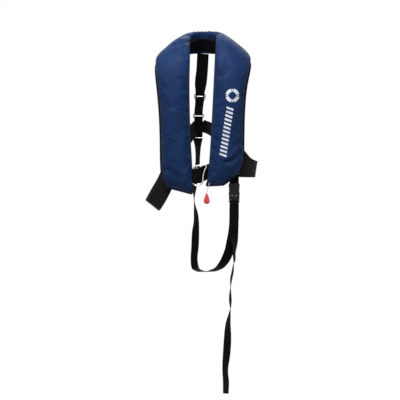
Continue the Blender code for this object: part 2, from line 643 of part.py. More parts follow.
def build_inflator():
    """Inflator body, gas cylinder, sensor cap, lever, pins, cord and pull handle."""
    body_mid_z = (BODY_LOW_Z + BODY_HIGH_Z) / 2
    centre = ((CYLINDER_X + CAP_X) / 2, INFLATOR_Y, body_mid_z)
    size = (CAP_X - CYLINDER_X + 0.025, 0.0210, BODY_HIGH_Z - BODY_LOW_Z)
    body = add_object("inflator_body", box_mesh("inflator_body", centre, size, 0.004), "black_plastic")
    neck_low = BODY_HIGH_Z - 0.013
    bores = [
        ("neck_bore", (CYLINDER_X, INFLATOR_Y, neck_low), (CYLINDER_X, INFLATOR_Y, 0), 0.0070),
        ("pin_bore", (CYLINDER_X, INFLATOR_Y, -0.2), (CYLINDER_X, INFLATOR_Y, neck_low + 0.001), 0.0026),
    ]
    for name, start, end, radius in bores:
        cut_away(body, add_cutter(name, rod_mesh(name, start, end, radius)))

    profile = [(0.0, neck_low + 0.0006), (0.0064, neck_low + 0.0006), (0.0064, BODY_HIGH_Z + 0.003),
               (CYLINDER_RADIUS * 0.85, BODY_HIGH_Z + 0.009), (CYLINDER_RADIUS, BODY_HIGH_Z + 0.016),
               (CYLINDER_RADIUS, -0.026), (CYLINDER_RADIUS * 0.7, -0.018), (0.0, -0.016)]
    add_turned("gas_cylinder", profile, (CYLINDER_X, INFLATOR_Y), "cylinder_zinc", 20)

    cap_low = BODY_LOW_Z - 0.0130
    cap = [(0.0, cap_low), (0.0080, cap_low), (0.0096, cap_low + 0.0020), (0.0096, BODY_LOW_Z - 0.0004),
           (0.0, BODY_LOW_Z - 0.0004)]
    add_turned("sensor_cap", cap, (CAP_X, INFLATOR_Y), "yellow_plastic", 18)

    arm = box_mesh("pull_lever", (CYLINDER_X - LEVER_LENGTH / 2 - 0.0005, INFLATOR_Y, LEVER_PIVOT.z),
                   (LEVER_LENGTH + 0.007, 0.0060, 0.0060), 0.0015)
    lever = add_object("pull_lever", arm, "black_plastic")
    reach = Vector((0, 0.02, 0))
    lever_bore = rod_mesh("lever_bore", LEVER_PIVOT - reach, LEVER_PIVOT + reach, LEVER_PIN_RADIUS + 0.0004)
    cut_away(lever, add_cutter("lever_bore", lever_bore))
    across = Vector((0, 0.0055, 0))
    pin = rod_mesh("lever_pin", LEVER_PIVOT - across, LEVER_PIVOT + across, LEVER_PIN_RADIUS, sides=12)
    add_object("lever_pin", pin, "steel")
    needle = [(0.0, LEVER_PIVOT.z + 0.0036), (0.0018, LEVER_PIVOT.z + 0.0036), (0.0018, neck_low - 0.008),
              (0.0, neck_low - 0.0052)]
    add_turned("piercing_pin", needle, (CYLINDER_X, INFLATOR_Y), "steel", 12)
    clip_place = (CYLINDER_X - 0.0004, INFLATOR_Y - 0.0122, body_mid_z)
    clip = box_mesh("service_clip", clip_place, (0.010, 0.0020, 0.016), 0.0006)
    add_object("service_clip", clip, "green_plastic")
    nut_x = 0.070
    nut_front = (nut_x, INFLATOR_Y + 0.0108, body_mid_z)
    nut_back = (nut_x, INFLATOR_Y + 0.0140, body_mid_z)
    nut = rod_mesh("flange_nut", nut_front, nut_back, 0.0080, sides=6)
    add_object("flange_nut", nut, "cylinder_zinc")

    add_wire("pull_cord", [CORD_TOP.lerp(CORD_END, n / 6) for n in range(7)], CORD_RADIUS, "white_cord")
    drop = [(0.0, 0.0), (0.0020, -0.0003), (0.0036, -0.005), (0.0060, -0.010), (0.0080, -0.016),
            (0.0099, -0.023), (0.0105, -0.028), (0.0096, -0.0325), (0.0062, -0.036), (0.0, -0.0370)]
    handle = [(radius, CORD_END.z - HANDLE_DROP + drop_z) for radius, drop_z in reversed(drop)]
    toggle = add_turned("pull_toggle", handle, (CORD_END.x, INFLATOR_Y), "red_plastic", 18)
    to_axis = Matrix.Translation((0, -INFLATOR_Y, 0))
    toggle.data.transform(to_axis.inverted() @ Matrix.Diagonal((1, 0.62, 1, 1)) @ to_axis)


def build_oral_tube():
    """Oral tube with its valve and dust cap, the whistle on its cord and the lifting loop."""
    tube_mesh = rod_mesh("oral_tube", (ORAL_X, ORAL_Y, -0.100), (ORAL_X, ORAL_Y, -0.010), 0.0065)
    tube = add_object("oral_tube", tube_mesh, "black_plastic")
    bore = rod_mesh("oral_bore", (ORAL_X, ORAL_Y, -0.094), (ORAL_X, ORAL_Y, 0.010), 0.0042)
    cut_away(tube, add_cutter("oral_bore", bore))
    valve = [(0.0, -0.0320), (0.0036, -0.0320), (0.0036, -0.0275), (0.0014, -0.0265),
             (0.0014, -0.0125), (0.0, -0.0120)]
    add_turned("oral_valve", valve, (ORAL_X, ORAL_Y), "red_plastic", 12)
    cap = [(0.0, -0.0095), (0.0069, -0.0095), (0.0069, -0.0220), (0.0078, -0.0220),
           (0.0078, -0.0030), (0.0, -0.0030)]
    add_turned("oral_cap", cap, (ORAL_X, ORAL_Y), "black_plastic", 16)

    whistle_x = ORAL_X - 0.026
    whistle_mesh = box_mesh("whistle", (whistle_x, ORAL_Y, -0.100), (0.016, 0.008, 0.044), 0.002)
    whistle = add_object("whistle", whistle_mesh, "yellow_plastic")
    slot = box_mesh("whistle_slot", (whistle_x, ORAL_Y - 0.005, -0.108), (0.010, 0.006, 0.004))
    cut_away(whistle, add_cutter("whistle_slot", slot))
    cord_turns = ((0.0, -0.0768), (0.001, -0.060), (0.006, -0.046), (0.014, -0.040), (0.0174, -0.040))
    cord = [(whistle_x + x, ORAL_Y, z) for x, z in cord_turns]
    add_wire("whistle_cord", cord, CORD_RADIUS, "white_cord")

    add_strap("lifting_loop", [
        ((0.092, -0.2345, -0.060), level(0)), ((0.092, -0.2375, -0.020), level(0)),
        ((0.092, -0.2450, -0.004), level(0)), ((0.092, -0.2500, -0.016), level(0)),
        ((0.092, -0.2490, -0.056), level(0)),
    ], 0.024, step=0.014)


build_horseshoe()
build_back()
build_waist_belt()
build_front_buckle()
build_crotch_strap()
build_crotch_buckle()
build_inflator()
build_oral_tube()
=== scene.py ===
"""Looks of the inflatable life jacket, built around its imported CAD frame.

Units are metres in the frame's own axes: +Z up, -Y out of the chest, +X the wearer's left. The
horseshoe is a loft between an inner and an outer edge; webbing is swept along paths that follow
the CAD straps; metal and plastic pieces are modelled at their CAD places.
"""

import json
import math

import bmesh
import bpy
import numpy as np
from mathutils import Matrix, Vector, noise
from mathutils.bvhtree import BVHTree

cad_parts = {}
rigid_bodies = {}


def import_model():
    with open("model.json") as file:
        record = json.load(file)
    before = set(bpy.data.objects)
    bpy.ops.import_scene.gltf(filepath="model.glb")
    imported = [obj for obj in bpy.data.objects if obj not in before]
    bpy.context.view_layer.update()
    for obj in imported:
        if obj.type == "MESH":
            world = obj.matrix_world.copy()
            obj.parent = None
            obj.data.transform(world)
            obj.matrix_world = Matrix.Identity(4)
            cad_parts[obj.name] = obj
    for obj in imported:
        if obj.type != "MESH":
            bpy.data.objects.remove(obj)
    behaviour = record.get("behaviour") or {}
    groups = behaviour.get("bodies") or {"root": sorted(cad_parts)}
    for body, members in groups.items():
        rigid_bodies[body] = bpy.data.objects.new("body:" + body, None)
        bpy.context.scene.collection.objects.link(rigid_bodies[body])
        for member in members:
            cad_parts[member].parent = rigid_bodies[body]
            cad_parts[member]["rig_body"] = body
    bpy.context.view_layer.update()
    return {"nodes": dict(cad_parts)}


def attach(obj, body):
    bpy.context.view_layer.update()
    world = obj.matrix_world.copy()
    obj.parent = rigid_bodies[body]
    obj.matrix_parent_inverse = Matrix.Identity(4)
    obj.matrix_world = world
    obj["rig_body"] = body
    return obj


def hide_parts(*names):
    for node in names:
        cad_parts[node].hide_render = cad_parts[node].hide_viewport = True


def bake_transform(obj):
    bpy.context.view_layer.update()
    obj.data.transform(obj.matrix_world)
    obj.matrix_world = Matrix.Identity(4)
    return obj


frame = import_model()
NODES = frame["nodes"]

# Camera: the picture is FRAME_SIDE wide in the jacket's front plane
CAMERA_DISTANCE = 40.0
FRONT_PLANE = -0.24
FRAME_SIDE = 1.36
SENSOR = 36.0
CENTRE_X = -0.0102
CENTRE_Z = -0.255
FLOOR_Z = -0.965
FLOOR_RADIUS = 1.15

# Webbing
WEBBING = 0.0017
BELT_WIDTH = 0.05
SIDE_WIDTH = 0.056
BACK_WIDTH = 0.042
MIDDLE_WIDTH = 0.046
CROTCH_WIDTH = 0.032
TAB_WIDTH = 0.04
SLIDER_WIDTH = 0.031
LOOP_WIDTH = 0.029
LOOP_SIDE_GAP = 0.0024
STRAP_STEP = 0.004
FINE_STEP = 0.003
SEAM_PITCH = 0.0042
STRAP_PITCH = 0.0034

# Horseshoe section: angle 0 is the inner edge, pi / 2 the middle of the outside
OUTER_SHARE = 0.62
LINING_SHARE = 0.38
SECTION_POWER = 2 / 2.6
EDGE_WRAP = 0.35
NECK_BAND = 0.9
COVER_STEP = 0.0045
SMOOTHING_PASSES = 24
COVER_COLUMNS = 44
LINING_COLUMNS = 20
FABRIC = 0.0009
CLOTH_FRAMES = 20
GUSSET_ANGLE = math.pi - 0.62

# Metal and buckle
RING_WIRE = 0.0025
RING_PIVOT = (-0.0325, -0.226, -0.173)
CROSS_BAR = (-0.02, -0.226, -0.173)
LOOP_WIRE = 0.0016
BUCKLE_X = 0.106
BUCKLE_Y = -0.236
BUCKLE_TOP = -0.199
SOCKET_END = -0.24
PLUG_END = -0.263
CORD_TOP = (0.0295, -0.247, -0.17)
CORD_END = (0.0125, -0.247, -0.23)

# Each station of a lobe: inner edge, outer edge, thickness; from the foot up to the neck
RIGHT_LOBE = [
    ((-0.0405, -0.236, -0.233), (-0.12, -0.235, -0.212), 0.006),
    ((-0.039, -0.237, -0.229), (-0.128, -0.232, -0.204), 0.024),
    ((-0.038, -0.238, -0.219), (-0.1335, -0.229, -0.19), 0.038),
    ((-0.0375, -0.238, -0.195), (-0.1375, -0.226, -0.167), 0.046),
    ((-0.0375, -0.238, -0.145), (-0.14, -0.225, -0.125), 0.05),
    ((-0.0425, -0.238, -0.06), (-0.141, -0.225, -0.05), 0.05),
    ((-0.046, -0.238, 0.05), (-0.145, -0.225, 0.05), 0.05),
    ((-0.047, -0.238, 0.15), (-0.153, -0.223, 0.135), 0.05),
    ((-0.0465, -0.232, 0.218), (-0.158, -0.208, 0.18), 0.048),
    ((-0.048, -0.2, 0.27), (-0.158, -0.165, 0.208), 0.044),
    ((-0.048, -0.15, 0.296), (-0.149, -0.105, 0.218), 0.038),
    ((-0.04, -0.092, 0.311), (-0.119, -0.05, 0.23), 0.032),
    ((-0.02, -0.055, 0.318), (-0.064, -0.02, 0.247), 0.028),
]
NECK_STATION = ((0.0, -0.042, 0.32), (0.0, -0.012, 0.253), 0.026)
LEFT_LOBE = [
    ((0.015, -0.236, -0.2065), (0.066, -0.235, -0.2035), 0.006),
    ((0.0145, -0.237, -0.202), (0.092, -0.232, -0.186), 0.024),
    ((0.015, -0.238, -0.193), (0.111, -0.229, -0.173), 0.038),
    ((0.017, -0.238, -0.175), (0.126, -0.226, -0.152), 0.046),
    ((0.0215, -0.238, -0.13), (0.133, -0.225, -0.115), 0.05),
    ((0.027, -0.238, -0.05), (0.1345, -0.225, -0.05), 0.05),
    ((0.0325, -0.238, 0.05), (0.137, -0.225, 0.05), 0.05),
    ((0.0375, -0.238, 0.15), (0.145, -0.223, 0.135), 0.05),
    ((0.0415, -0.232, 0.22), (0.1555, -0.208, 0.185), 0.048),
    ((0.046, -0.2, 0.278), (0.159, -0.165, 0.213), 0.044),
    ((0.0475, -0.15, 0.304), (0.152, -0.105, 0.221), 0.038),
    ((0.041, -0.092, 0.314), (0.121, -0.05, 0.231), 0.032),
    ((0.02, -0.055, 0.3185), (0.064, -0.02, 0.247), 0.028),
]

# Creases of the cover's front: a line of (x, z), then width, depth and the height of its lip
CREASES = [
    (((0.124, -0.088), (0.116, -0.104), (0.102, -0.118), (0.08, -0.127)), 0.0065, 0.005, 0.0042),
    (((0.11, -0.066), (0.118, -0.078)), 0.008, 0.003, 0.0),
    (((0.128, -0.118), (0.11, -0.139), (0.088, -0.146)), 0.0085, -0.003, 0.0),
    (((-0.078, 0.279), (-0.066, 0.258), (-0.058, 0.235)), 0.007, 0.005, 0.002),
    (((-0.104, 0.27), (-0.076, 0.279), (-0.048, 0.284)), 0.006, 0.0036, 0.0016),
    (((-0.132, 0.132), (-0.126, 0.12)), 0.01, 0.0036, 0.0),
    (((-0.06, 0.132), (-0.056, 0.118)), 0.009, 0.0028, 0.0),
    (((0.06, 0.262), (0.08, 0.225), (0.086, 0.18)), 0.012, 0.0022, 0.0),
    (((-0.12, -0.15), (-0.095, -0.172), (-0.07, -0.178)), 0.01, 0.0022, 0.001),
]


def set_all(target, **values):
    """Set several attributes of one object."""
    for key, value in values.items():
        setattr(target, key, value)
    return target


# ---------------------------------------------------------------- materials

def new_material(name, colour, roughness, **values):
    """Make a Principled material; values are names of its inputs with _ for a space."""
    made = bpy.data.materials.new(name)
    made.use_nodes = True
    shader = made.node_tree.nodes["Principled BSDF"]
    shader.inputs["Base Color"].default_value = (*colour, 1.0)
    shader.inputs["Roughness"].default_value = roughness
    for key, value in values.items():
        shader.inputs[key.replace("_", " ")].default_value = value
    return made


def add_node(material, kind, inputs, **settings):
    """Add a node whose inputs are values or sockets of other nodes."""
    node = set_all(material.node_tree.nodes.new(kind), **settings)
    for key, value in inputs.items():
        if isinstance(value, bpy.types.NodeSocket):
            material.node_tree.links.new(value, node.inputs[key])
        else:
            node.inputs[key].default_value = value
    return node


def math_node(material, operation, first, second=0.0, third=0.0):
    """Add a Math node and give its output."""
    inputs = {0: first, 1: second, 2: third}
    return add_node(material, "ShaderNodeMath", inputs, operation=operation).outputs[0]


def map_range(material, value, start, end, low, high):
    """Turn a value of start..end into low..high."""
    return add_node(material, "ShaderNodeMapRange", {
        "Value": value, "From Min": start, "From Max": end, "To Min": low, "To Max": high}).outputs[0]


def feed_shader(material, name, socket):
    """Drive one input of the Principled shader."""
    material.node_tree.links.new(socket, material.node_tree.nodes["Principled BSDF"].inputs[name])


def mix_base_colour(material, factor, first, second):
    """Mix two colours, or a colour socket and a colour, into the base colour."""
    mix = add_node(material, "ShaderNodeMix", {0: factor, 6: first, 7: second}, data_type="RGBA").outputs[2]
    feed_shader(material, "Base Color", mix)
    return mix


def cells_of(material, size, **settings):
    """Distances in a pattern of small cells of the given size."""
    inputs = {"Vector": surface_position(material), "Scale": 1 / size}
    return add_node(material, "ShaderNodeTexVoronoi", inputs, **settings).outputs["Distance"]


def surface_position(material):
    """Give the point's place in the object, in metres."""
    return add_node(material, "ShaderNodeTexCoord", {}).outputs["Object"]


def cloth_position(material):
    """Give the point's two places along the cloth, in metres."""
    place = add_node(material, "ShaderNodeTexCoord", {}).outputs["UV"]
    split = add_node(material, "ShaderNodeSeparateXYZ", {"Vector": place})
    return split.outputs["X"], split.outputs["Y"]


def sine_of(material, value, pitch):
    """Wave of 0..1 along a length, one wave each pitch."""
    angle = math_node(material, "MULTIPLY", value, math.tau / pitch)
    return math_node(material, "MULTIPLY_ADD", math_node(material, "SINE", angle), 0.5, 0.5)


def noise_of(material, size, detail=3.0, stretch=(1, 1, 1)):
    """Noise of 0..1 whose lumps are about the given size."""
    place = surface_position(material)
    scaled = add_node(material, "ShaderNodeMapping", {"Vector": place, "Scale": stretch}).outputs[0]
    node = add_node(material, "ShaderNodeTexNoise", {"Vector": scaled, "Scale": 1 / size, "Detail": detail})
    return node.outputs["Fac"]


def blend_colours(material, factor, dark, light):
    """Mix two colours by a factor from 0.3 to 0.7 and use it as the base colour."""
    return mix_base_colour(material, map_range(material, factor, 0.3, 0.7, 0.0, 1.0), (*dark, 1), (*light, 1))


def wear_edges(material, colour, worn, amount):
    """Lighten raised edges a little."""
    point = add_node(material, "ShaderNodeNewGeometry", {}).outputs["Pointiness"]
    mix_base_colour(material, map_range(material, point, 0.52, 0.62, 0.0, amount), colour, (*worn, 1))


def vary_roughness(material, factor, low, high):
    """Let roughness follow a factor."""
    feed_shader(material, "Roughness", map_range(material, factor, 0.3, 0.7, low, high))


def add_bumps(material, *layers):
    """Chain bumps; each layer is a height socket and its depth in metres."""
    before = None
    for height, depth in layers:
        inputs = {"Height": height, "Distance": depth, "Strength": 1.0}
        if before:
            inputs["Normal"] = before
        before = add_node(material, "ShaderNodeBump", inputs).outputs["Normal"]
    feed_shader(material, "Normal", before)


def woven_material(name, dark, light, pitch, sheen, roughness=0.6, specular=0.3):
    """Plain-woven coated cloth with soft creases and uneven dye."""
    made = new_material(name, dark, roughness, Sheen_Weight=sheen, Sheen_Roughness=0.45,
                        Specular_IOR_Level=specular)
    across, along = cloth_position(made)
    threads = math_node(made, "MULTIPLY", sine_of(made, across, pitch), sine_of(made, along, pitch))
    colour = blend_colours(made, noise_of(made, 0.035, 4.0), dark, light)
    wear_edges(made, colour, [min(1.0, c * 1.8 + 0.01) for c in light], 0.35)
    vary_roughness(made, noise_of(made, 0.02), roughness - 0.08, roughness + 0.08)
    add_bumps(made, (threads, pitch * 0.12), (noise_of(made, 0.012, 2.0), 0.0006))
    return made


def webbing_material(name, dark, light, specular=0.06):
    """Black webbing with a herringbone of ribs and slightly fuzzy threads."""
    made = new_material(name, dark, 0.72, Sheen_Weight=0.02, Sheen_Roughness=0.5, Specular_IOR_Level=specular)
    across, along = cloth_position(made)
    zigzag = math_node(made, "PINGPONG", across, 0.0045)
    herringbone = sine_of(made, math_node(made, "ADD", along, zigzag), 0.0021)
    cords = sine_of(made, across, 0.0015)
    colour = blend_colours(made, noise_of(made, 0.01, 5.0), dark, light)
    wear_edges(made, colour, [c * 2.0 for c in light], 0.5)
    add_bumps(made, (herringbone, 0.00035), (cords, 0.0002), (noise_of(made, 0.0012, 2.0), 0.00012))
    return made


def tape_material(name, dark, light):
    """Folded grosgrain tape with ribs across it."""
    made = new_material(name, dark, 0.7, Sheen_Weight=0.1, Specular_IOR_Level=0.12)
    across, along = cloth_position(made)
    ribs = sine_of(made, along, 0.0011)
    threads = sine_of(made, across, 0.0006)
    blend_colours(made, noise_of(made, 0.02), dark, light)
    add_bumps(made, (ribs, 0.00018), (threads, 0.00006))
    return made


def mesh_lining_material():
    """Black lining knitted with small round cells."""
    made = new_material("black_lining", (0.002, 0.003, 0.005), 0.85, Sheen_Weight=0.03,
                        Specular_IOR_Level=0.05)
    cells = cells_of(made, 0.0022)
    blend_colours(made, noise_of(made, 0.03), (0.0012, 0.0024, 0.005), (0.003, 0.005, 0.0095))
    add_bumps(made, (cells, 0.0005), (noise_of(made, 0.02), 0.0012))
    return made


def metal_material(name, colour, rough_low, rough_high, size, stretch):
    """Metal whose polish varies along fine marks."""
    made = new_material(name, colour, rough_low, Metallic=1.0)
    marks = noise_of(made, size, 4.0, stretch)
    blend_colours(made, marks, [c * 0.82 for c in colour], colour)
    vary_roughness(made, marks, rough_low, rough_high)
    add_bumps(made, (marks, 0.00003))
    return made


def plastic_material(name, dark, light, roughness, grain, **values):
    """Moulded plastic with a fine grain and rubbed edges."""
    made = new_material(name, dark, roughness, **values)
    colour = blend_colours(made, noise_of(made, 0.012), dark, light)
    wear_edges(made, colour, [min(1.0, c * 1.6 + 0.02) for c in light], 0.4)
    vary_roughness(made, noise_of(made, 0.004), roughness - 0.06, roughness + 0.08)
    add_bumps(made, (noise_of(made, 0.0006, 1.0), grain))
    return made


def cord_material():
    """Thin whitish cord braided from two crossing sets of strands."""
    made = new_material("white_cord", (0.78, 0.76, 0.72), 0.75, Sheen_Weight=0.2)
    across, along = cloth_position(made)
    first = sine_of(made, math_node(made, "ADD", along, across), 0.0013)
    second = sine_of(made, math_node(made, "SUBTRACT", along, across), 0.0013)
    strands = math_node(made, "MAXIMUM", first, second)
    blend_colours(made, noise_of(made, 0.005), (0.62, 0.6, 0.55), (0.84, 0.82, 0.78))
    add_bumps(made, (strands, 0.0003))
    return made


def reflective_material():
    """Retroreflective sheet of small honeycomb cells."""
    made = new_material("reflective", (0.75, 0.78, 0.8), 0.28, Metallic=0.6)
    cells = cells_of(made, 0.0035, feature="DISTANCE_TO_EDGE")
    blend_colours(made, cells, (0.55, 0.58, 0.6), (0.85, 0.88, 0.9))
    add_bumps(made, (cells, 0.0004))
    return made


def print_material():
    """Screen print: slightly bluish white, a little uneven over the weave."""
    made = new_material("white_print", (0.78, 0.84, 0.93), 0.55, Specular_IOR_Level=0.3)
    blend_colours(made, noise_of(made, 0.003, 4.0), (0.66, 0.73, 0.86), (0.86, 0.9, 0.97))
    add_bumps(made, (noise_of(made, 0.0015), 0.00015))
    return made


LOOKS = {
    "navy_fabric": woven_material("navy_fabric", (0.004, 0.0205, 0.08), (0.0085, 0.0315, 0.11), 0.0011, 0.012,
                                  specular=0.14),
    "lining": mesh_lining_material(),
    "tape": tape_material("binding_tape", (0.003, 0.003, 0.005), (0.008, 0.008, 0.011)),
    "yellow_fabric": woven_material("yellow_fabric", (0.72, 0.5, 0.015), (0.86, 0.63, 0.03), 0.0009, 0.05,
                                    0.4),
    "webbing": webbing_material("webbing", (0.0014, 0.0014, 0.0018), (0.0038, 0.0038, 0.0046)),
    "belt": webbing_material("belt_webbing", (0.0065, 0.0065, 0.0078), (0.0145, 0.0145, 0.0172), 0.14),
    "thread": tape_material("black_thread", (0.01, 0.01, 0.012), (0.022, 0.022, 0.026)),
    "navy_thread": tape_material("navy_thread", (0.01, 0.024, 0.085), (0.02, 0.045, 0.15)),
    "steel": metal_material("steel", (0.88, 0.85, 0.81), 0.16, 0.34, 0.004, (1, 1, 0.15)),
    "cylinder_zinc": metal_material("cylinder_zinc", (0.55, 0.56, 0.57), 0.3, 0.5, 0.006, (1, 1, 1)),
    "black_plastic": plastic_material("black_plastic", (0.003, 0.003, 0.0035), (0.007, 0.007, 0.0078), 0.28,
                                      0.00005, Specular_IOR_Level=0.25),
    "yellow_plastic": plastic_material("yellow_plastic", (0.82, 0.58, 0.015), (0.9, 0.68, 0.03), 0.35,
                                       0.00003),
    "green_plastic": plastic_material("green_plastic", (0.02, 0.36, 0.06), (0.04, 0.46, 0.09), 0.35, 0.00003),
    "red_plastic": plastic_material("red_plastic", (0.76, 0.02, 0.035), (0.86, 0.045, 0.06), 0.18, 0.00002,
                                    Coat_Weight=0.6, Coat_Roughness=0.06, Subsurface_Weight=0.15,
                                    Subsurface_Scale=0.004),
    "white_cord": cord_material(),
    "reflective": reflective_material(),
    "print": print_material(),
}


# ---------------------------------------------------------------- paths and meshes

def unit(vectors):
    """Scale each vector to length 1."""
    return vectors / np.maximum(np.linalg.norm(vectors, axis=-1, keepdims=True), 1e-12)


def smooth_path(keys, step):
    """Pass a smooth curve through keys, whose first three numbers are a position."""
    keys = np.array(keys, float)
    chords = np.linalg.norm(np.diff(keys[:, :3], axis=0), axis=1)
    slopes = np.diff(keys, axis=0) / chords[:, None]
    before, after = chords[:-1, None], chords[1:, None]
    inner = (slopes[:-1] * after + slopes[1:] * before) / (before + after)
    tangents = np.vstack([slopes[:1], inner, slopes[-1:]])
    path = []
    for index, chord in enumerate(chords):
        count = max(1, round(chord / step))
        for t in np.arange(count) / count:
            path.append((2 * t ** 3 - 3 * t ** 2 + 1) * keys[index]
                        + (t ** 3 - 2 * t ** 2 + t) * chord * tangents[index]
                        + (3 * t ** 2 - 2 * t ** 3) * keys[index + 1]
                        + (t ** 3 - t ** 2) * chord * tangents[index + 1])
    path.append(keys[-1])
    return np.array(path)


def running_length(points):
    """Give the length along a path at each of its points."""
    return np.concatenate([[0], np.cumsum(np.linalg.norm(np.diff(points, axis=0), axis=1))])


def wobble(points, size, seed):
    """Smooth repeatable noise in -1..1 at each point, with lumps of the given size."""
    shift = Vector((seed * 7.31, seed * 3.77, seed * 5.19))
    flat = np.asarray(points, float).reshape(-1, 3)
    values = np.array([noise.noise(Vector(p) / size + shift) for p in flat])
    return values.reshape(np.asarray(points).shape[:-1])


def link_object(name, data):
    """Put a mesh, lamp or camera into the scene."""
    made = bpy.data.objects.new(name, data)
    bpy.context.scene.collection.objects.link(made)
    return made


def link_mesh(name, points, faces):
    """Make a smooth-shaded mesh object from points and faces."""
    mesh = bpy.data.meshes.new(name)
    mesh.from_pydata(np.asarray(points, float).reshape(-1, 3).tolist(), [], faces)
    mesh.update()
    mesh.shade_smooth()
    return link_object(name, mesh)


def object_from(name, shape):
    """Turn a finished BMesh into a linked object."""
    mesh = bpy.data.meshes.new(name)
    shape.to_mesh(mesh)
    shape.free()
    return link_object(name, mesh)


def grid_faces(rows, columns, ring=False, loop=False, start=0):
    """List the quads of a grid; ring joins its last column to its first, loop its last row."""
    faces = []
    for row in range(rows if loop else rows - 1):
        above = (row + 1) % rows
        for column in range(columns if ring else columns - 1):
            following = (column + 1) % columns
            corners = (row * columns + column, above * columns + column,
                       above * columns + following, row * columns + following)
            faces.append(tuple(start + c for c in corners))
    return faces


def tube_faces(rows, sides, start=0):
    """List the quads of a closed tube and its two end caps."""
    faces = grid_faces(rows, sides, ring=True, start=start)
    faces.append(tuple(start + n for n in range(sides)))
    faces.append(tuple(start + (rows - 1) * sides + n for n in reversed(range(sides))))
    return faces


def face_outward(made):
    """Turn a closed mesh's faces to point out."""
    shape = bmesh.new()
    shape.from_mesh(made.data)
    bmesh.ops.recalc_face_normals(shape, faces=shape.faces)
    shape.to_mesh(made.data)
    shape.free()
    return made


def tube_mesh(name, rings):
    """Closed tube through rings of points, from its first to its last."""
    return face_outward(link_mesh(name, rings, tube_faces(len(rings), len(rings[0]))))


def set_uv(made, values):
    """Give each vertex one pair of lengths, in metres, as UV coordinates."""
    layer = made.data.uv_layers.new(name="metres")
    corners = np.zeros(len(made.data.loops), np.int32)
    made.data.loops.foreach_get("vertex_index", corners)
    layer.data.foreach_set("uv", np.asarray(values, np.float32).reshape(-1, 2)[corners].ravel())


def set_grid_uv(made, across, along):
    """Use the lengths across and along a grid as its UV coordinates."""
    set_uv(made, np.stack(np.meshgrid(across, along), axis=-1))


def apply_modifiers(made):
    """Replace an object's mesh by its evaluated mesh, without modifiers."""
    graph = bpy.context.evaluated_depsgraph_get()
    final = bpy.data.meshes.new_from_object(made.evaluated_get(graph))
    made.modifiers.clear()
    made.data = final
    return made


def add_modifier(made, kind, **settings):
    """Add a modifier with its settings."""
    set_all(made.modifiers.new(kind.lower(), kind), **settings)


def add_solidify(made, thickness, offset=-1.0):
    """Give a sheet real thickness, behind its outer face unless the offset says otherwise."""
    add_modifier(made, "SOLIDIFY", thickness=thickness, offset=offset)


def add_subdivision(made):
    """Smooth a mesh by one subdivision."""
    add_modifier(made, "SUBSURF", levels=1, render_levels=1)


def apply_bevel(made, width, segments):
    """Round a mesh's sharp edges."""
    add_modifier(made, "BEVEL", width=width, segments=segments, limit_method="ANGLE")
    apply_modifiers(made)


def combine(made, other, operation="DIFFERENCE"):
    """Cut another mesh out of one, or join it on, and remove the other."""
    add_modifier(made, "BOOLEAN", operation=operation, solver="EXACT", object=other)
    apply_modifiers(made)
    bpy.data.objects.remove(other, do_unlink=True)


def finish_piece(made, body, look, *nodes):
    """Give a piece its material and slot, its body and the CAD nodes it stands for."""
    made.data.materials.clear()
    made.data.materials.append(LOOKS[look])
    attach(made, body)
    if nodes:
        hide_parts(*nodes)
    return made


def sweep_frames(points, across):
    """Square the width direction up to a path, and give it with the path's normal."""
    tangent = unit(np.gradient(points, axis=0))
    across = unit(across - tangent * np.sum(across * tangent, axis=1, keepdims=True))
    return across, np.cross(tangent, across)


def sweep_profile(name, points, across, profile, loop=False, stretch=1.0):
    """Sweep a closed profile of (across, out) pairs along a path, with end caps; stretch widens it."""
    if loop:
        padded = np.vstack([points[-2:], points, points[:2]])
        wide, out = sweep_frames(padded, np.vstack([across[-2:], across, across[:2]]))
        wide, out = wide[2:-2], out[2:-2]
    else:
        wide, out = sweep_frames(points, across)
    profile = np.asarray(profile, float)
    wide = wide * np.reshape(stretch, (-1, 1))
    rings = points[:, None] + wide[:, None] * profile[None, :, :1] + out[:, None] * profile[None, :, 1:2]
    if loop:
        made = face_outward(link_mesh(name, rings, grid_faces(*rings.shape[:2], ring=True, loop=True)))
    else:
        made = tube_mesh(name, rings)
    set_grid_uv(made, running_length(profile), running_length(points))
    return made


def oval_profile(half_wide, half_high, sides):
    """Ellipse as a sweep profile."""
    return [(half_wide * math.cos(a), half_high * math.sin(a))
            for a in np.linspace(0, math.tau, sides, endpoint=False)]


def wire_piece(name, points, radius, body, look, *nodes, loop=False, sides=14):
    """Round wire or cord along a path."""
    points = np.asarray(points, float)
    tangent = unit(np.gradient(points, axis=0))
    reference = np.where(np.abs(tangent[:, 1:2]) > 0.9, [[1.0, 0.0, 0.0]], [[0.0, 1.0, 0.0]])
    made = sweep_profile(name, points, reference, oval_profile(radius, radius, sides), loop=loop)
    return finish_piece(made, body, look, *nodes)


def straight_rod(name, start, end, rings, profile):
    """Sweep a profile along a straight line, with its width along Y."""
    return sweep_profile(name, np.linspace(start, end, rings), np.tile([0.0, 1.0, 0.0], (rings, 1)), profile)


def rounded_corners(corners, radius, steps=6):
    """Round the corners of a closed polygon, and add a point in the middle of each side."""
    corners = np.array(corners, float)
    points = []
    for index, corner in enumerate(corners):
        before, after = corners[index - 1], corners[(index + 1) % len(corners)]
        start = corner + unit(before - corner) * radius
        end = corner + unit(after - corner) * radius
        for t in np.linspace(0, 1, steps + 1):
            points.append((1 - t) ** 2 * start + 2 * t * (1 - t) * corner + t ** 2 * end)
        points.append((end + after + unit(corner - after) * radius) / 2)
    return np.array(points)


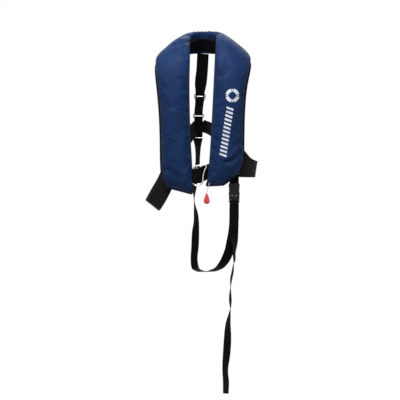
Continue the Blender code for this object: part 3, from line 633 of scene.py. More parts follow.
def turned_piece(name, profile, centre, body, look, *nodes, sides=32, flatten=1.0):
    """Turn a profile of radius and height about an upright axis; low end first."""
    angles = np.linspace(0, math.tau, sides, endpoint=False)
    circle = np.stack([np.cos(angles), np.sin(angles) * flatten, np.zeros(sides)], axis=1)
    rings = np.array([np.array(centre) + circle * max(radius, 0.0001) + (0, 0, z) for radius, z in profile])
    return finish_piece(tube_mesh(name, rings), body, look, *nodes)


# ---------------------------------------------------------------- webbing and stitches

STRAPS = {}


def webbing_profile(width, thickness):
    """Flat woven section with thicker rolled edges and shallow lengthwise ribs."""
    edge = thickness * 0.62
    ribs = 2 * max(4, round(width / 0.008))
    across = np.linspace(-width / 2 + edge, width / 2 - edge, 2 * ribs + 1)
    height = thickness / 2 * (1 + 0.1 * np.cos(np.pi * np.arange(2 * ribs + 1)))
    side = [(math.cos(a) * edge, math.sin(a) * edge) for a in np.radians((60, 20, -20, -60))]
    face = list(zip(across, height))
    right = [(width / 2 - edge + u, w) for u, w in side]
    left = [(-width / 2 + edge - u, w) for u, w in reversed(side)]
    return face + right + [(u, -w) for u, w in reversed(face)] + left


def webbing_piece(name, rows, turn, width, body, look, *nodes, wave=0.0005, seed=1.0, step=STRAP_STEP,
                  thickness=WEBBING):
    """Webbing along rows of x, y, z, the angle of its width and, if it differs, the width there.

    turn, either level or upright, gives the direction for an angle.
    """
    keys = [[x, y, z, *turn(angle), *(own or (width,))] for x, y, z, angle, *own in rows]
    path = smooth_path(keys, step)
    points, across, stretch = path[:, :3], path[:, 3:6], path[:, 6] / width
    across, out = sweep_frames(points, across)
    fade = np.clip(np.minimum(np.arange(len(points)), np.arange(len(points))[::-1]) / 5, 0, 1)
    points = points + out * (wobble(points, 0.045, seed) * wave * fade)[:, None]
    tilt = (wobble(points, 0.06, seed + 4) * 0.05 * fade)[:, None]
    across = unit(across + out * tilt)
    made = sweep_profile(name, points, across, webbing_profile(width, thickness), stretch=stretch)
    across, out = sweep_frames(points, across)
    STRAPS[name] = (points, across * stretch[:, None], out, running_length(points), thickness)
    return finish_piece(made, body, look, *nodes)


def level(degrees):
    """Level direction turned about +Z from +X."""
    angle = math.radians(degrees)
    return (math.cos(angle), math.sin(angle), 0.0)


def upright(degrees):
    """Upright direction leaned from +Z towards +X."""
    angle = math.radians(degrees)
    return (math.sin(angle), 0.0, math.cos(angle))


def wrap_round(centre, radius, first, last, steps=8):
    """Webbing rows round an upright bar, from the first to the last angle in degrees."""
    x, y, z = centre
    return [(x + radius * math.cos(a), y + radius * math.sin(a), z, 0)
            for a in np.radians(np.linspace(first, last, steps + 1))]


def stitch_mesh(name, centres, directions, normals, body, look, length=0.0027, radius=0.00042):
    """One mesh of small rounded stitches lying on a surface."""
    centres, directions, normals = (np.asarray(v, float) for v in (centres, directions, normals))
    sideways = np.cross(normals, directions)
    rings = ((-0.5, 0.35), (-0.32, 0.95), (0.0, 1.0), (0.32, 0.95), (0.5, 0.35))
    points, faces, sides = [], [], 6
    for centre, ahead, up, side in zip(centres, unit(directions), unit(normals), unit(sideways)):
        start = len(points)
        for along, share in rings:
            for n in range(sides):
                angle = math.tau * n / sides
                points.append(centre + ahead * along * length + side * math.cos(angle) * radius * 1.25 * share
                              + up * math.sin(angle) * radius * share)
        faces += tube_faces(len(rings), sides, start)
    made = face_outward(link_mesh(name, points, faces))
    set_uv(made, np.array(points)[:, :2])
    return finish_piece(made, body, look)


def along_lines(lines, pitch):
    """Walk polylines of any dimension and give evenly spaced pairs of place and direction."""
    places, directions = [], []
    for line in lines:
        line = np.array(line, float)
        for start, end in zip(line, line[1:]):
            count = max(1, round(np.linalg.norm(end - start) / pitch))
            for n in range(count):
                places.append(start + (end - start) * (n + 0.5) / count)
                directions.append((end - start) / count)
    return np.array(places), np.array(directions)


def box_and_cross(half, start, end):
    """Sewing pattern of a box with a cross in it, as lines of (across, along)."""
    corners = [(-half, start), (half, start), (half, end), (-half, end), (-half, start)]
    return [corners, [(-half, start), (half, end)], [(half, start), (-half, end)]]


def strap_stitches(name, strap, lines, body, pitch=STRAP_PITCH):
    """Sew lines of (across, along) through a strap, with thread on both faces."""
    points, across, out, lengths, thickness = STRAPS[strap]
    places, steps = along_lines(lines, pitch)

    def on_strap(values):
        return np.stack([np.interp(places[:, 1], lengths, column) for column in values.T], axis=1)

    centre, wide, up = (on_strap(v) for v in (points, across, out))
    direction = wide * steps[:, :1] + unit(np.cross(wide, up)) * steps[:, 1:2]
    surface = centre + wide * places[:, :1]
    lift = up * (thickness * 0.56)
    return stitch_mesh(name, np.vstack([surface + lift, surface - lift]), np.vstack([direction, direction]),
                       np.vstack([up, -up]), body, "thread")


# ---------------------------------------------------------------- horseshoe

def horseshoe_stations(step):
    """Sample the horseshoe: inner edge, outer edge, outward normal, thickness, length so far."""
    keys = RIGHT_LOBE + [NECK_STATION] + LEFT_LOBE[::-1]
    rows = [[*((np.array(a) + np.array(b)) / 2), *a, *b, thick] for a, b, thick in keys]
    path = smooth_path(rows, step)
    lengths = running_length(path[:, :3])
    even = np.linspace(0, lengths[-1], len(path))
    path = np.stack([np.interp(even, lengths, column) for column in path.T], axis=1)
    for _ in range(SMOOTHING_PASSES):
        path[1:-1] = (path[:-2] + 2 * path[1:-1] + path[2:]) / 4
    middle, inner, outer, thick = path[:, :3], path[:, 3:6], path[:, 6:9], path[:, 9]
    along = unit(np.gradient(middle, axis=0))
    normal = unit(np.cross(along, outer - inner))
    return inner, outer, normal, thick, running_length(middle)


def signed_power(values, power):
    """Raise numbers to a power and keep their signs."""
    return np.sign(values) * np.abs(values) ** power


def section_points(stations, angles):
    """Points of the puffy section; angles has one row of angles for each station."""
    inner, outer, normal, thick, _ = stations
    across = 0.5 - 0.5 * signed_power(np.cos(angles), SECTION_POWER)
    share = np.where(np.sin(angles) > 0, OUTER_SHARE, LINING_SHARE)
    height = thick[:, None] * share * signed_power(np.sin(angles), SECTION_POWER)
    return (inner[:, None] * (1 - across[..., None]) + outer[:, None] * across[..., None]
            + normal[:, None] * height[..., None])


def neck_amount(stations):
    """How much a station belongs to the collar, from 0 on the chest to 1 at the neck."""
    middle_y = (stations[0][:, 1] + stations[1][:, 1]) / 2
    t = np.clip((middle_y + 0.16) / 0.1, 0, 1)
    return t * t * (3 - 2 * t)


def angle_grid(first, last, columns):
    """Rows of angles between a first and a last angle for each station."""
    share = np.linspace(0, 1, columns)
    return first[:, None] + (last - first)[:, None] * share[None]


def inflate_cloth(made, pinned, pressure, growth, cap):
    """Blow a grid of cloth up by simulation, with a cap on how far any point may move."""
    before = np.array([v.co for v in made.data.vertices])
    group = made.vertex_groups.new(name="pinned")
    group.add(np.flatnonzero(pinned).tolist(), 1.0, "REPLACE")
    cloth = made.modifiers.new("cloth", "CLOTH")
    set_all(cloth.settings, quality=5, mass=0.12, tension_stiffness=25, compression_stiffness=12,
            shear_stiffness=6, bending_stiffness=0.5, shrink_min=-growth, shrink_max=-growth,
            use_pressure=True, uniform_pressure_force=pressure, vertex_group_mass="pinned")
    cloth.settings.effector_weights.gravity = 0.0
    set_all(cloth.point_cache, frame_start=1, frame_end=CLOTH_FRAMES)
    for number in range(1, CLOTH_FRAMES + 1):
        bpy.context.scene.frame_set(number)
    apply_modifiers(made)
    bpy.context.scene.frame_set(1)
    moved = np.array([v.co for v in made.data.vertices]) - before
    far = np.linalg.norm(moved, axis=1, keepdims=True)
    return (before + moved * np.minimum(1, cap / np.maximum(far, 1e-9))).reshape(*pinned.shape, 3)


def grid_normals(grid):
    """Outward normals of a horseshoe grid."""
    down, along = np.gradient(grid, axis=1), np.gradient(grid, axis=0)
    return unit(np.cross(along, down))


def push_out(grid, amount):
    """Move a grid along its outward normals by an amount for each point."""
    return grid + grid_normals(grid) * amount[..., None]


def bell(values, centre, width):
    """Bell curve that is 1 at its centre."""
    return np.exp(-((values - centre) / width) ** 2)


def press_line(grid, line, width, depth, ridge=0.0):
    """Push the front of the cover in along a line of (x, z), with a raised lip above it."""
    places, _ = along_lines([line], 0.004)
    flat = grid[..., [0, 2]].reshape(-1, 2)
    near = np.full(len(flat), 1e9)
    above = np.zeros(len(flat))
    for place in places:
        offset = flat - place
        distance = np.hypot(offset[:, 0], offset[:, 1])
        closer = distance < near
        near = np.where(closer, distance, near)
        above = np.where(closer, offset[:, 1], above)
    shape = bell(near, 0.0, width) * -depth
    lip = bell(near, 2.0 * width, width) * ridge * np.where(above > 0, 1.0, 0.35)
    front = (grid[..., 1] < -0.16).reshape(-1) | (grid[..., 2] > 0.2).reshape(-1)
    return push_out(grid, ((shape + lip) * front).reshape(grid.shape[:2]))


def pucker_edges(grid, angles, lengths, seed):
    """Small gathers that run away from the seams."""
    waves = np.sin(lengths / 0.0135 * math.tau + 2.2 * wobble(grid[:, 0], 0.05, seed))
    patchy = np.clip(0.35 + wobble(grid[:, 0], 0.07, seed + 9), 0, 1)
    seams = bell(angles, 0.25, 0.3) + bell(angles, GUSSET_ANGLE, 0.22) + bell(angles, math.pi - 0.15, 0.25)
    return push_out(grid, 0.0018 * (waves * patchy)[:, None] * seams)


def sink_gusset(grid, angles):
    """Seam between the front panel and the side gusset, as a shallow groove."""
    return push_out(grid, bell(angles, GUSSET_ANGLE, 0.06) * -0.0022)


def gather_neck(grid, neck, lengths, seed):
    """Folds where the cover turns from the chest into the collar."""
    waves = np.sin(lengths / 0.022 * math.tau + 2.4 * wobble(grid[:, 0], 0.03, seed))
    patchy = np.clip(0.55 + 0.9 * wobble(grid[:, 0], 0.05, seed + 4), 0.1, 1)
    amount = 0.0058 * bell(neck, 0.8, 0.35) * waves * patchy
    shares = np.linspace(0, 1, grid.shape[1])
    inner_side = bell(shares, 0.16, 0.2) * (1 - bell(shares, 0.0, 0.05))
    return push_out(grid, amount[:, None] * inner_side[None])


def finish_sheet(made, width, columns, lengths, look, node):
    """Smooth and thicken a grid of cloth, and give it its UVs, look and node."""
    set_grid_uv(made, np.linspace(0, width, columns), lengths)
    add_subdivision(made)
    add_solidify(made, FABRIC)
    apply_modifiers(made)
    finish_piece(made, "root", look, node)


def build_cover(stations):
    """Navy cover: lofted, blown up as cloth, then creased, seamed and thickened."""
    neck = neck_amount(stations)
    first = -EDGE_WRAP - NECK_BAND * neck
    angles = angle_grid(first, np.full(len(first), math.pi + EDGE_WRAP), COVER_COLUMNS)
    grid = section_points(stations, angles)
    rows = len(grid)
    made = link_mesh("cover_fabric", grid, grid_faces(rows, COVER_COLUMNS))
    held = (angles < 0.1) | (angles > math.pi - 0.1)
    held[:2] = held[-2:] = True
    blown = inflate_cloth(made, held, pressure=3.0, growth=0.014, cap=0.008)
    high = np.clip((grid[..., 2:3] - 0.12) / 0.1, 0, 1)
    grid = grid + (blown - grid) * (1 - 0.65 * high)
    grid = sink_gusset(pucker_edges(grid, angles, stations[4], 1.0), angles)
    grid = gather_neck(grid, neck, stations[4], 2.0)
    for line, width, depth, ridge in CREASES:
        grid = press_line(grid, line, width, depth, ridge)
    made.data.vertices.foreach_set("co", grid.ravel())
    finish_sheet(made, 0.19, COVER_COLUMNS, stations[4], "navy_fabric", "cover")
    return grid, angles, made


def build_lining(stations):
    """Black lining on the body side, from the outer edge round to where the cover ends."""
    neck = neck_amount(stations)
    last = math.tau - EDGE_WRAP + 0.06 - NECK_BAND * neck
    first = np.full(len(last), math.pi + EDGE_WRAP - 0.06)
    angles = angle_grid(first, last, LINING_COLUMNS)
    grid = section_points(stations, angles)
    normals = grid_normals(grid)
    made = link_mesh("lining_fabric", grid - normals * FABRIC, grid_faces(len(grid), LINING_COLUMNS))
    held = np.zeros(angles.shape, bool)
    held[:, :2] = held[:, -2:] = held[:2] = held[-2:] = True
    moved = inflate_cloth(made, held, pressure=1.2, growth=0.02, cap=0.003)
    made.data.vertices.foreach_set("co", moved.ravel())
    finish_sheet(made, 0.1, LINING_COLUMNS, stations[4], "lining", "lining_panel")


def build_edge_tape(stations):
    """Tape round the seam: flat along the inner edges, folded over the outer edges and feet."""
    inner, outer, normal, _, _ = stations
    rows = np.arange(len(inner))
    flat = np.clip(np.minimum(rows, rows[::-1]) / 14, 0, 1)[:, None]
    seam_angle = (-EDGE_WRAP - NECK_BAND * neck_amount(stations))[:, None]
    seam, before, after = (section_points(stations, seam_angle + turn)[:, 0] for turn in (0, 0.04, -0.04))
    outward = unit(outer - inner)
    along_surface = unit(after - before)
    lifted = seam + unit(np.cross(along_surface, unit(np.gradient(seam, axis=0)))) * 0.0004
    inner_line = (inner - outward * 0.0024) * (1 - flat) + lifted * flat
    inner_across = unit(-outward * (1 - flat) + along_surface * flat)
    outer_line = outer + outward * 0.0032 - normal * 0.0006
    points = np.vstack([inner_line, outer_line[::-1]])
    across = np.vstack([inner_across, outward[::-1]])
    keep = np.concatenate([[True], np.linalg.norm(np.diff(points, axis=0), axis=1) > 0.0015])
    made = sweep_profile("edge_tape", points[keep], across[keep], oval_profile(0.0036, 0.0015, 12), loop=True)
    finish_piece(made, "root", "tape", "edge_binding")


def seam_stitches(name, grid, columns, look):
    """Stitches along given columns of the cover grid, just proud of it."""
    normals = grid_normals(grid)
    centres, directions, ups = [], [], []
    for column in columns:
        line, up = grid[4:-4, column], normals[4:-4, column]
        places, steps = along_lines([line], SEAM_PITCH)
        up = up[np.linspace(0, len(line) - 1.001, len(places)).astype(int)]
        centres.append(places + up * 0.0003)
        directions.append(steps)
        ups.append(up)
    return stitch_mesh(name, np.vstack(centres), np.vstack(directions), np.vstack(ups), "root", look)


def build_bladder(stations):
    """Folded yellow bladder, inside the cover."""
    inner, outer, normal, thick, lengths = (v[18:-18] for v in stations)
    widths = 0.34 - 0.08 * neck_amount(stations)[18:-18]
    sides = 36
    angles = np.linspace(0, math.tau, sides, endpoint=False)
    rings = []
    for a, b, n, t, length, width in zip(inner, outer, normal, thick, lengths, widths):
        centre = (a + b) / 2 - n * t * 0.1
        half = (b - a) * width
        folds = 1 + 0.22 * np.cos(5 * angles) + 0.1 * math.sin(length / 0.03)
        rings.append(centre + half * np.cos(angles)[:, None]
                     + n * (t * 0.085 * np.sin(angles) * folds)[:, None])
    made = tube_mesh("folded_bladder", np.array(rings))
    set_grid_uv(made, np.linspace(0, 0.16, sides), lengths)
    finish_piece(made, "root", "yellow_fabric", "bladder")


def printed_patch(name, outlines, tree):
    """Lay flat (x, z) outlines on the cover as thin screen-printed ink."""
    shape = bmesh.new()
    for outline in outlines:
        shape.faces.new([shape.verts.new((x, -0.4, z)) for x, z in outline])
    bmesh.ops.triangulate(shape, faces=shape.faces)
    for _ in range(3):
        long_edges = [e for e in shape.edges if e.calc_length() > 0.0035]
        bmesh.ops.subdivide_edges(shape, edges=long_edges, cuts=1)
        bmesh.ops.triangulate(shape, faces=[f for f in shape.faces if len(f.verts) > 3])
    for vertex in shape.verts:
        hit, normal, _, _ = tree.ray_cast(vertex.co, Vector((0, 1, 0)))
        vertex.co = hit + (normal if normal.y < 0 else -normal) * 0.0004
    made = object_from(name, shape)
    made.data.shade_smooth()
    return finish_piece(made, "root", "print")


def arc_outline(centre, low, high, first, last, steps=10):
    """Outline of a piece of a ring between two radii and two angles in degrees."""
    angles = np.radians(np.linspace(first, last, steps))
    outer = [(centre[0] + high * math.cos(a), centre[1] + high * math.sin(a)) for a in angles]
    inner = [(centre[0] + low * math.cos(a), centre[1] + low * math.sin(a)) for a in reversed(angles)]
    return outer + inner


def build_print(cover):
    """Generic print on the wearer's left lobe: a lifebuoy ring over a column of slanted bars."""
    tree = BVHTree.FromObject(cover, bpy.context.evaluated_depsgraph_get())
    centre = (0.1, 0.1)
    ring = [arc_outline(centre, 0.0125, 0.0235, 12 + 90 * n, 78 + 90 * n) for n in range(4)]
    ring += [arc_outline(centre, 0.014, 0.022, -6 + 90 * n, 6 + 90 * n, 4) for n in range(4)]
    printed_patch("lifebuoy_print", ring, tree)
    bars, top, bottom, count = [], np.array([0.0915, 0.0555]), np.array([0.068, -0.102]), 13
    for n in range(count):
        middle = top + (bottom - top) * n / (count - 1)
        half_wide, half_high, lean = 0.0115, 0.0036, 0.004
        bars.append([(middle[0] - half_wide, middle[1] - half_high + lean),
                     (middle[0] + half_wide, middle[1] - half_high - lean),
                     (middle[0] + half_wide, middle[1] + half_high - lean),
                     (middle[0] - half_wide, middle[1] + half_high + lean)])
    printed_patch("bar_print", bars, tree)


# ---------------------------------------------------------------- straps

def upright_rectangle(x, y, half, low, high):
    """Corners of a rectangle across the back, from its upper right side round to its lower right side."""
    return [(x - half, y, high), (x + half, y, high), (x + half, y, low), (x - half, y, low)]


def build_back():
    """Back tab through its slider, wire loop and loop tab, padded patch and keeper."""
    slider_z, weave, loop_x, loop_y, loop_z, wrap = 0.099, -0.0034, -0.0155, 0.0064, 0.0385, 0.0033
    low_z = loop_z - 0.0115

    def round_loop(z, turn):
        return [(loop_x, loop_y - wrap * math.cos(a), z + wrap * math.sin(a), 0)
                for a in np.radians(np.arange(5) * turn)]

    tab = [(0.0, -0.008, 0.245, 0), (-0.003, -0.004, 0.19, 0), (-0.008, -0.001, 0.14, 0),
           (-0.01, weave, slider_z + 0.01, 0, SLIDER_WIDTH), (-0.0105, -weave, slider_z, 0, SLIDER_WIDTH),
           (-0.011, weave, slider_z - 0.01, 0, SLIDER_WIDTH)]
    low_end = [(-0.013, 0.001, 0.07, 0), (-0.015, 0.001, 0.0485, 0), *round_loop(loop_z, -45),
               (-0.015, 0.009, 0.0495, 0), (-0.0135, 0.0068, 0.064, 0)]
    tab += [(*row, LOOP_WIDTH) for row in low_end]
    webbing_piece("back_tab_webbing", tab, level, TAB_WIDTH, "root", "webbing", "back_tab", seed=3,
                  step=FINE_STEP)
    strap_stitches("back_tab_stitches", "back_tab_webbing", box_and_cross(0.013, 0.186, 0.203), "root")
    low_tab = [(loop_x, 0.0038, -0.012, 0), (loop_x, 0.0032, 0.012, 0), *round_loop(low_z, 45),
               (loop_x, 0.01, 0.014, 0)]
    webbing_piece("loop_tab_webbing", low_tab, level, LOOP_WIDTH, "root", "webbing", "loop_tab", seed=5,
                  step=FINE_STEP)
    loop = upright_rectangle(loop_x, loop_y, LOOP_WIDTH / 2 + LOOP_SIDE_GAP, low_z, loop_z)
    wire_piece("back_loop_wire", rounded_corners(loop, 0.0035), LOOP_WIRE, "root", "black_plastic",
               "back_loop", loop=True)
    build_slider(SLIDER_WIDTH / 2 + LOOP_SIDE_GAP, slider_z)
    keeper = [(-0.0175 + x, 0.013 + y, -0.042)
              for x, y in ((-0.0195, -0.0042), (0.0195, -0.0042), (0.0195, 0.0042), (-0.0195, 0.0042))]
    wire_piece("crotch_keeper_wire", rounded_corners(keeper, 0.0032), LOOP_WIRE, "root", "steel",
               "crotch_keeper", loop=True)
    build_back_patch()


def build_slider(half, z):
    """Three-bar slider: a black-coated frame with a middle bar, and a steel sleeve on that bar."""
    centre_x, sleeve_half, sleeve_y = -0.0105, 0.0115, -0.0002
    profile = oval_profile(0.0017, 0.0014, 14)
    path = rounded_corners(upright_rectangle(centre_x, 0.0, half, z - 0.009, z + 0.009), 0.004)
    level_y = np.tile([0.0, 1.0, 0.0], (len(path), 1))
    rim = sweep_profile("three_bar_slider", path, level_y, profile, loop=True)
    bar = straight_rod("slider_bar", (centre_x - half, 0.0, z), (centre_x + half, 0.0, z), 14, profile)
    combine(rim, bar, "UNION")
    finish_piece(rim, "root", "black_plastic", "back_slider")
    sleeve = np.linspace((centre_x - sleeve_half, sleeve_y, z), (centre_x + sleeve_half, sleeve_y, z), 12)
    wire_piece("slider_sleeve", sleeve, 0.0019, "root", "steel")


def build_back_patch():
    """Padded patch on the wearer's back: flat where it rests, crowned behind."""
    columns, rows, half_x, half_z = 29, 21, 0.022, 0.017
    points = []
    for v in np.linspace(-1, 1, rows):
        for u in np.linspace(-1, 1, columns):
            edge = max(abs(u), abs(v))
            crown = (1 - abs(u) ** 4) * (1 - abs(v) ** 4)
            shrink = 1 - 0.03 * (abs(u) * abs(v)) ** 3
            points.append((-0.008 + u * half_x * shrink, 0.0004 + 0.002 * crown + 0.0002 * (1 - edge),
                           -0.003 + v * half_z * shrink))
    made = link_mesh("back_patch", points, grid_faces(rows, columns))
    set_uv(made, np.array(points)[:, [0, 2]])
    add_solidify(made, 0.0006, offset=0.0)
    apply_modifiers(made)
    finish_piece(made, "root", "webbing", "back_pad")


def build_waist_belt():
    """Waist belt: a back half and a drooping, wider side on each side of the wearer."""
    right = [(-0.016, 0.0056, 0.001, -30, BACK_WIDTH), (-0.041, 0.005, -0.025, -44, BACK_WIDTH),
             (-0.06, 0.003, -0.048, -50, MIDDLE_WIDTH), (-0.09, -0.008, -0.105, -58),
             (-0.129, -0.04, -0.19, -60), (-0.159, -0.09, -0.243, -54), (-0.1735, -0.14, -0.272, -50),
             (-0.166, -0.18, -0.269, -52), (-0.148, -0.2, -0.24, -54), (-0.128, -0.2085, -0.201, -50)]
    left = [(-0.004, 0.0074, 0.0, 8, BACK_WIDTH), (0.0265, 0.0068, -0.012, 22, BACK_WIDTH),
            (0.05, 0.005, -0.027, 32, MIDDLE_WIDTH), (0.098, -0.01, -0.078, 38), (0.148, -0.045, -0.134, 26),
            (0.174, -0.095, -0.148, 14), (0.181, -0.14, -0.15, 8), (0.17, -0.18, -0.15, 4),
            (0.148, -0.201, -0.15, 0), (0.123, -0.2075, -0.149, 0)]
    half = SIDE_WIDTH / 2 - 0.0035
    for side, rows, seed in (("right", right, 11), ("left", left, 13)):
        strap = "waist_webbing_" + side
        webbing_piece(strap, rows, upright, SIDE_WIDTH, "root", "belt", "waist_belt_" + side, wave=0.001,
                      seed=seed)
        total = STRAPS[strap][3][-1]
        lines = [[(half * s, 0.004), (half * s, total - 0.004)] for s in (-1, 1)]
        lines += box_and_cross(half, 0.006, 0.03)[:1] + box_and_cross(half, total - 0.04, total - 0.012)
        strap_stitches("waist_stitches_" + side, strap, lines, "root", pitch=SEAM_PITCH)


def build_front_belts():
    """Front belt ends: one sewn round the ring's fixed side, one round the cross-bar."""
    wrap, belt_z = 0.004, RING_PIVOT[2]
    right = [(-0.1215, -0.205, -0.188, -30), (-0.09, -0.205, -0.179, -12), (-0.06, -0.2095, -0.174, 0),
             (-0.044, -0.217, belt_z, 0), *wrap_round(RING_PIVOT, wrap + 0.0004, 90, -90),
             (-0.04, -0.2248, belt_z, 0), (-0.047, -0.2205, belt_z, 0)]
    left = [(0.117, -0.2045, -0.149, 0), (0.085, -0.2045, -0.15, 0), (0.05, -0.2075, -0.153, 3),
            (0.015, -0.215, -0.159, 6), (-0.006, -0.2215, -0.168, 3), *wrap_round(CROSS_BAR, wrap, 90, 270),
            (-0.012, -0.228, belt_z, 0), (-0.006, -0.2266, belt_z, 0)]
    for side, rows, seed in (("right", right, 17), ("left", left, 19)):
        webbing_piece("front_webbing_" + side, rows, upright, BELT_WIDTH, "root", "webbing",
                      "front_belt_" + side, wave=0.0003, seed=seed, step=FINE_STEP)


def build_ring():
    """Bent wire ring: straight where it hinges in the belt, bowed on its open side."""
    pivot_x, near, _ = RING_PIVOT
    far = near - 0.005
    outline = [(pivot_x, near, -0.15), (pivot_x, near, -0.174), (pivot_x, near, -0.196),
               (-0.0285, near - 0.0008, -0.204), (-0.019, -0.2285, -0.2055), (-0.008, -0.2302, -0.2035),
               (-0.002, far, -0.1975), (-0.0008, far, -0.185), (0.002, far, -0.165),
               (0.007, far, -0.151), (0.0118, far, -0.1405), (0.008, far, -0.1362),
               (-0.008, -0.2295, -0.1372), (-0.024, -0.2272, -0.1402), (-0.0305, near - 0.0003, -0.144)]
    path = smooth_path(outline + outline[:1], 0.0022)[:-1]
    wire_piece("wire_ring", path, RING_WIRE, "buckle_ring", "steel", "buckle_ring", loop=True, sides=18)
    bar = [(0.0, -0.2004), (0.0019, -0.2002), (0.0029, -0.1994), (0.003, -0.1984), (0.0022, -0.1974),
           (0.0022, -0.1486), (0.003, -0.1476), (0.0029, -0.1466), (0.0019, -0.1458), (0.0, -0.1456)]
    turned_piece("cross_bar", bar, (*CROSS_BAR[:2], 0.0), "root", "steel", "buckle_bar", sides=20)


def build_crotch_strap():
    """Crotch strap from the back pad, under the body and up to the buckle; its free tail."""
    rear = [(-0.016, 0.009, -0.008, 0), (-0.017, 0.012, -0.028, 0), (-0.0175, 0.013, -0.042, 0),
            (-0.0175, 0.013, -0.062, 40), (-0.0175, 0.011, -0.1, 62), (-0.019, 0.008, -0.136, 62),
            (-0.025, 0.006, -0.18, 60), (-0.029, 0.004, -0.215, 66), (-0.0305, 0.002, -0.253, 88),
            (-0.024, 0.0, -0.305, 64), (-0.023, -0.001, -0.33, 56), (-0.0252, -0.001, -0.36, 42),
            (-0.027, -0.001, -0.41, 38), (-0.03, -0.003, -0.46, 42), (-0.026, -0.015, -0.486, 36),
            (-0.01, -0.05, -0.497, 28), (0.013, -0.108, -0.499, 24)]
    front = [(0.0385, -0.1655, -0.4945, 24), (0.058, -0.2, -0.483, 20), (0.075, -0.22, -0.46, 10),
             (0.088, -0.229, -0.43, 4), (0.096, -0.233, -0.395, 0), (0.103, -0.235, -0.355, 0),
             (0.106, -0.235, -0.31, 0), (BUCKLE_X, BUCKLE_Y + 0.0042, -0.276, 0),
             (BUCKLE_X, BUCKLE_Y + 0.0044, -0.26, 0), (BUCKLE_X, BUCKLE_Y + 0.0024, -0.2556, 0),
             (BUCKLE_X, BUCKLE_Y - 0.0018, -0.2546, 0), (BUCKLE_X, BUCKLE_Y - 0.0044, -0.258, 0),
             (BUCKLE_X, BUCKLE_Y - 0.0048, -0.266, 0)]
    made = webbing_piece("crotch_webbing", rear + front, level, CROTCH_WIDTH, "root", "webbing",
                         "crotch_strap_rear", "crotch_strap_front", wave=0.001, seed=23)
    made.parent = None
    del made["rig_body"]
    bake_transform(made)

    tail = [(0.106, -0.2412, -0.264, 0), (0.1055, -0.2424, -0.3, 0), (0.105, -0.244, -0.34, 0),
             (0.1045, -0.248, -0.375, 18), (0.108, -0.256, -0.408, 60), (0.106, -0.26, -0.436, 74),
             (0.1065, -0.261, -0.458, 78), (0.104, -0.262, -0.472, 90), (0.1, -0.262, -0.5, 101),
             (0.0955, -0.262, -0.522, 102), (0.0938, -0.262, -0.55, 90), (0.0929, -0.262, -0.6, 75),
             (0.0925, -0.262, -0.624, 88), (0.09, -0.262, -0.643, 100), (0.0852, -0.262, -0.673, 118),
             (0.0839, -0.262, -0.717, 138), (0.0803, -0.262, -0.775, 141), (0.0755, -0.262, -0.84, 126),
             (0.078, -0.262, -0.87, 128), (0.0776, -0.262, -0.913, 124)]
    webbing_piece("tail_webbing", tail, level, CROTCH_WIDTH, "crotch_tail", "webbing", "crotch_tail",
                  wave=0.0008, seed=29)
    total = STRAPS["tail_webbing"][3][-1]
    strap_stitches("tail_stitches", "tail_webbing", box_and_cross(0.0125, total - 0.024, total - 0.004)[:1],
                   "crotch_tail")
    short = [(-0.2012, -0.156), (-0.203, -0.18), (-0.218, -0.193), (BUCKLE_Y + 0.007, -0.1975),
             (BUCKLE_Y + 0.0072, -0.206)]
    webbing_piece("short_webbing", [(BUCKLE_X, y, z, 0) for y, z in short], level, CROTCH_WIDTH, "root",
                  "webbing", "crotch_short_strap", wave=0.0002, seed=31, step=FINE_STEP)
    lifting = [(-0.2345, -0.06), (-0.2375, -0.02), (-0.245, -0.004), (-0.25, -0.016), (-0.249, -0.056)]
    webbing_piece("lifting_webbing", [(0.092, y, z, 0) for y, z in lifting], level, 0.024, "root", "webbing",
                  "lifting_loop", seed=37)


# ---------------------------------------------------------------- buckle, handle and the CAD pieces

def rounded_box(name, centre, size, bevel):
    """Box with well rounded edges, used as a part of moulded shapes."""
    shape = bmesh.new()
    bmesh.ops.create_cube(shape, size=1.0)
    bmesh.ops.scale(shape, vec=size, verts=shape.verts)
    if bevel:
        bmesh.ops.bevel(shape, geom=shape.edges, offset=bevel, segments=4, affect="EDGES", profile=0.5)
    bmesh.ops.translate(shape, vec=centre, verts=shape.verts)
    made = object_from(name, shape)
    made.data.shade_smooth()
    made.data.set_sharp_from_angle(angle=math.radians(50))
    return made


def build_socket():
    """Buckle socket: a waisted hollow shell with windows for the prongs and two grip grooves."""
    stations = [(0.0, 0.0172, 0.005), (0.02, 0.0184, 0.006), (0.1, 0.019, 0.0064), (0.3, 0.0184, 0.0065),
                (0.55, 0.0181, 0.0065), (0.75, 0.0186, 0.0065), (0.92, 0.0192, 0.0064), (1.0, 0.0188, 0.006)]
    rings, sides = [], 48
    angles = np.linspace(0, math.tau, sides, endpoint=False)
    for share, half_x, half_y in stations:
        z = BUCKLE_TOP + (SOCKET_END - BUCKLE_TOP) * share
        rings.append(np.stack([BUCKLE_X + half_x * signed_power(np.cos(angles), 0.45),
                               BUCKLE_Y + half_y * signed_power(np.sin(angles), 0.55),
                               np.full(sides, z)], axis=1))
    made = tube_mesh("buckle_socket", np.array(rings))
    made.data.set_sharp_from_angle(angle=math.radians(45))
    cuts = [("mouth", 0.0, SOCKET_END + 0.01, (0.0315, 0.0086, 0.044), 0.0),
            ("windows", 0.0, SOCKET_END + 0.017, (0.06, 0.007, 0.015), 0.0015),
            ("upper_groove", 0.0066, BUCKLE_TOP - 0.007, (0.025, 0.003, 0.0026), 0.0008),
            ("lower_groove", 0.0066, SOCKET_END + 0.0035, (0.027, 0.003, 0.0026), 0.0008)]
    for name, ahead, z, size, bevel in cuts:
        combine(made, rounded_box(name, (BUCKLE_X, BUCKLE_Y - ahead, z), size, bevel))
    apply_bevel(made, 0.0004, 2)
    finish_piece(made, "root", "black_plastic", "crotch_buckle_socket")


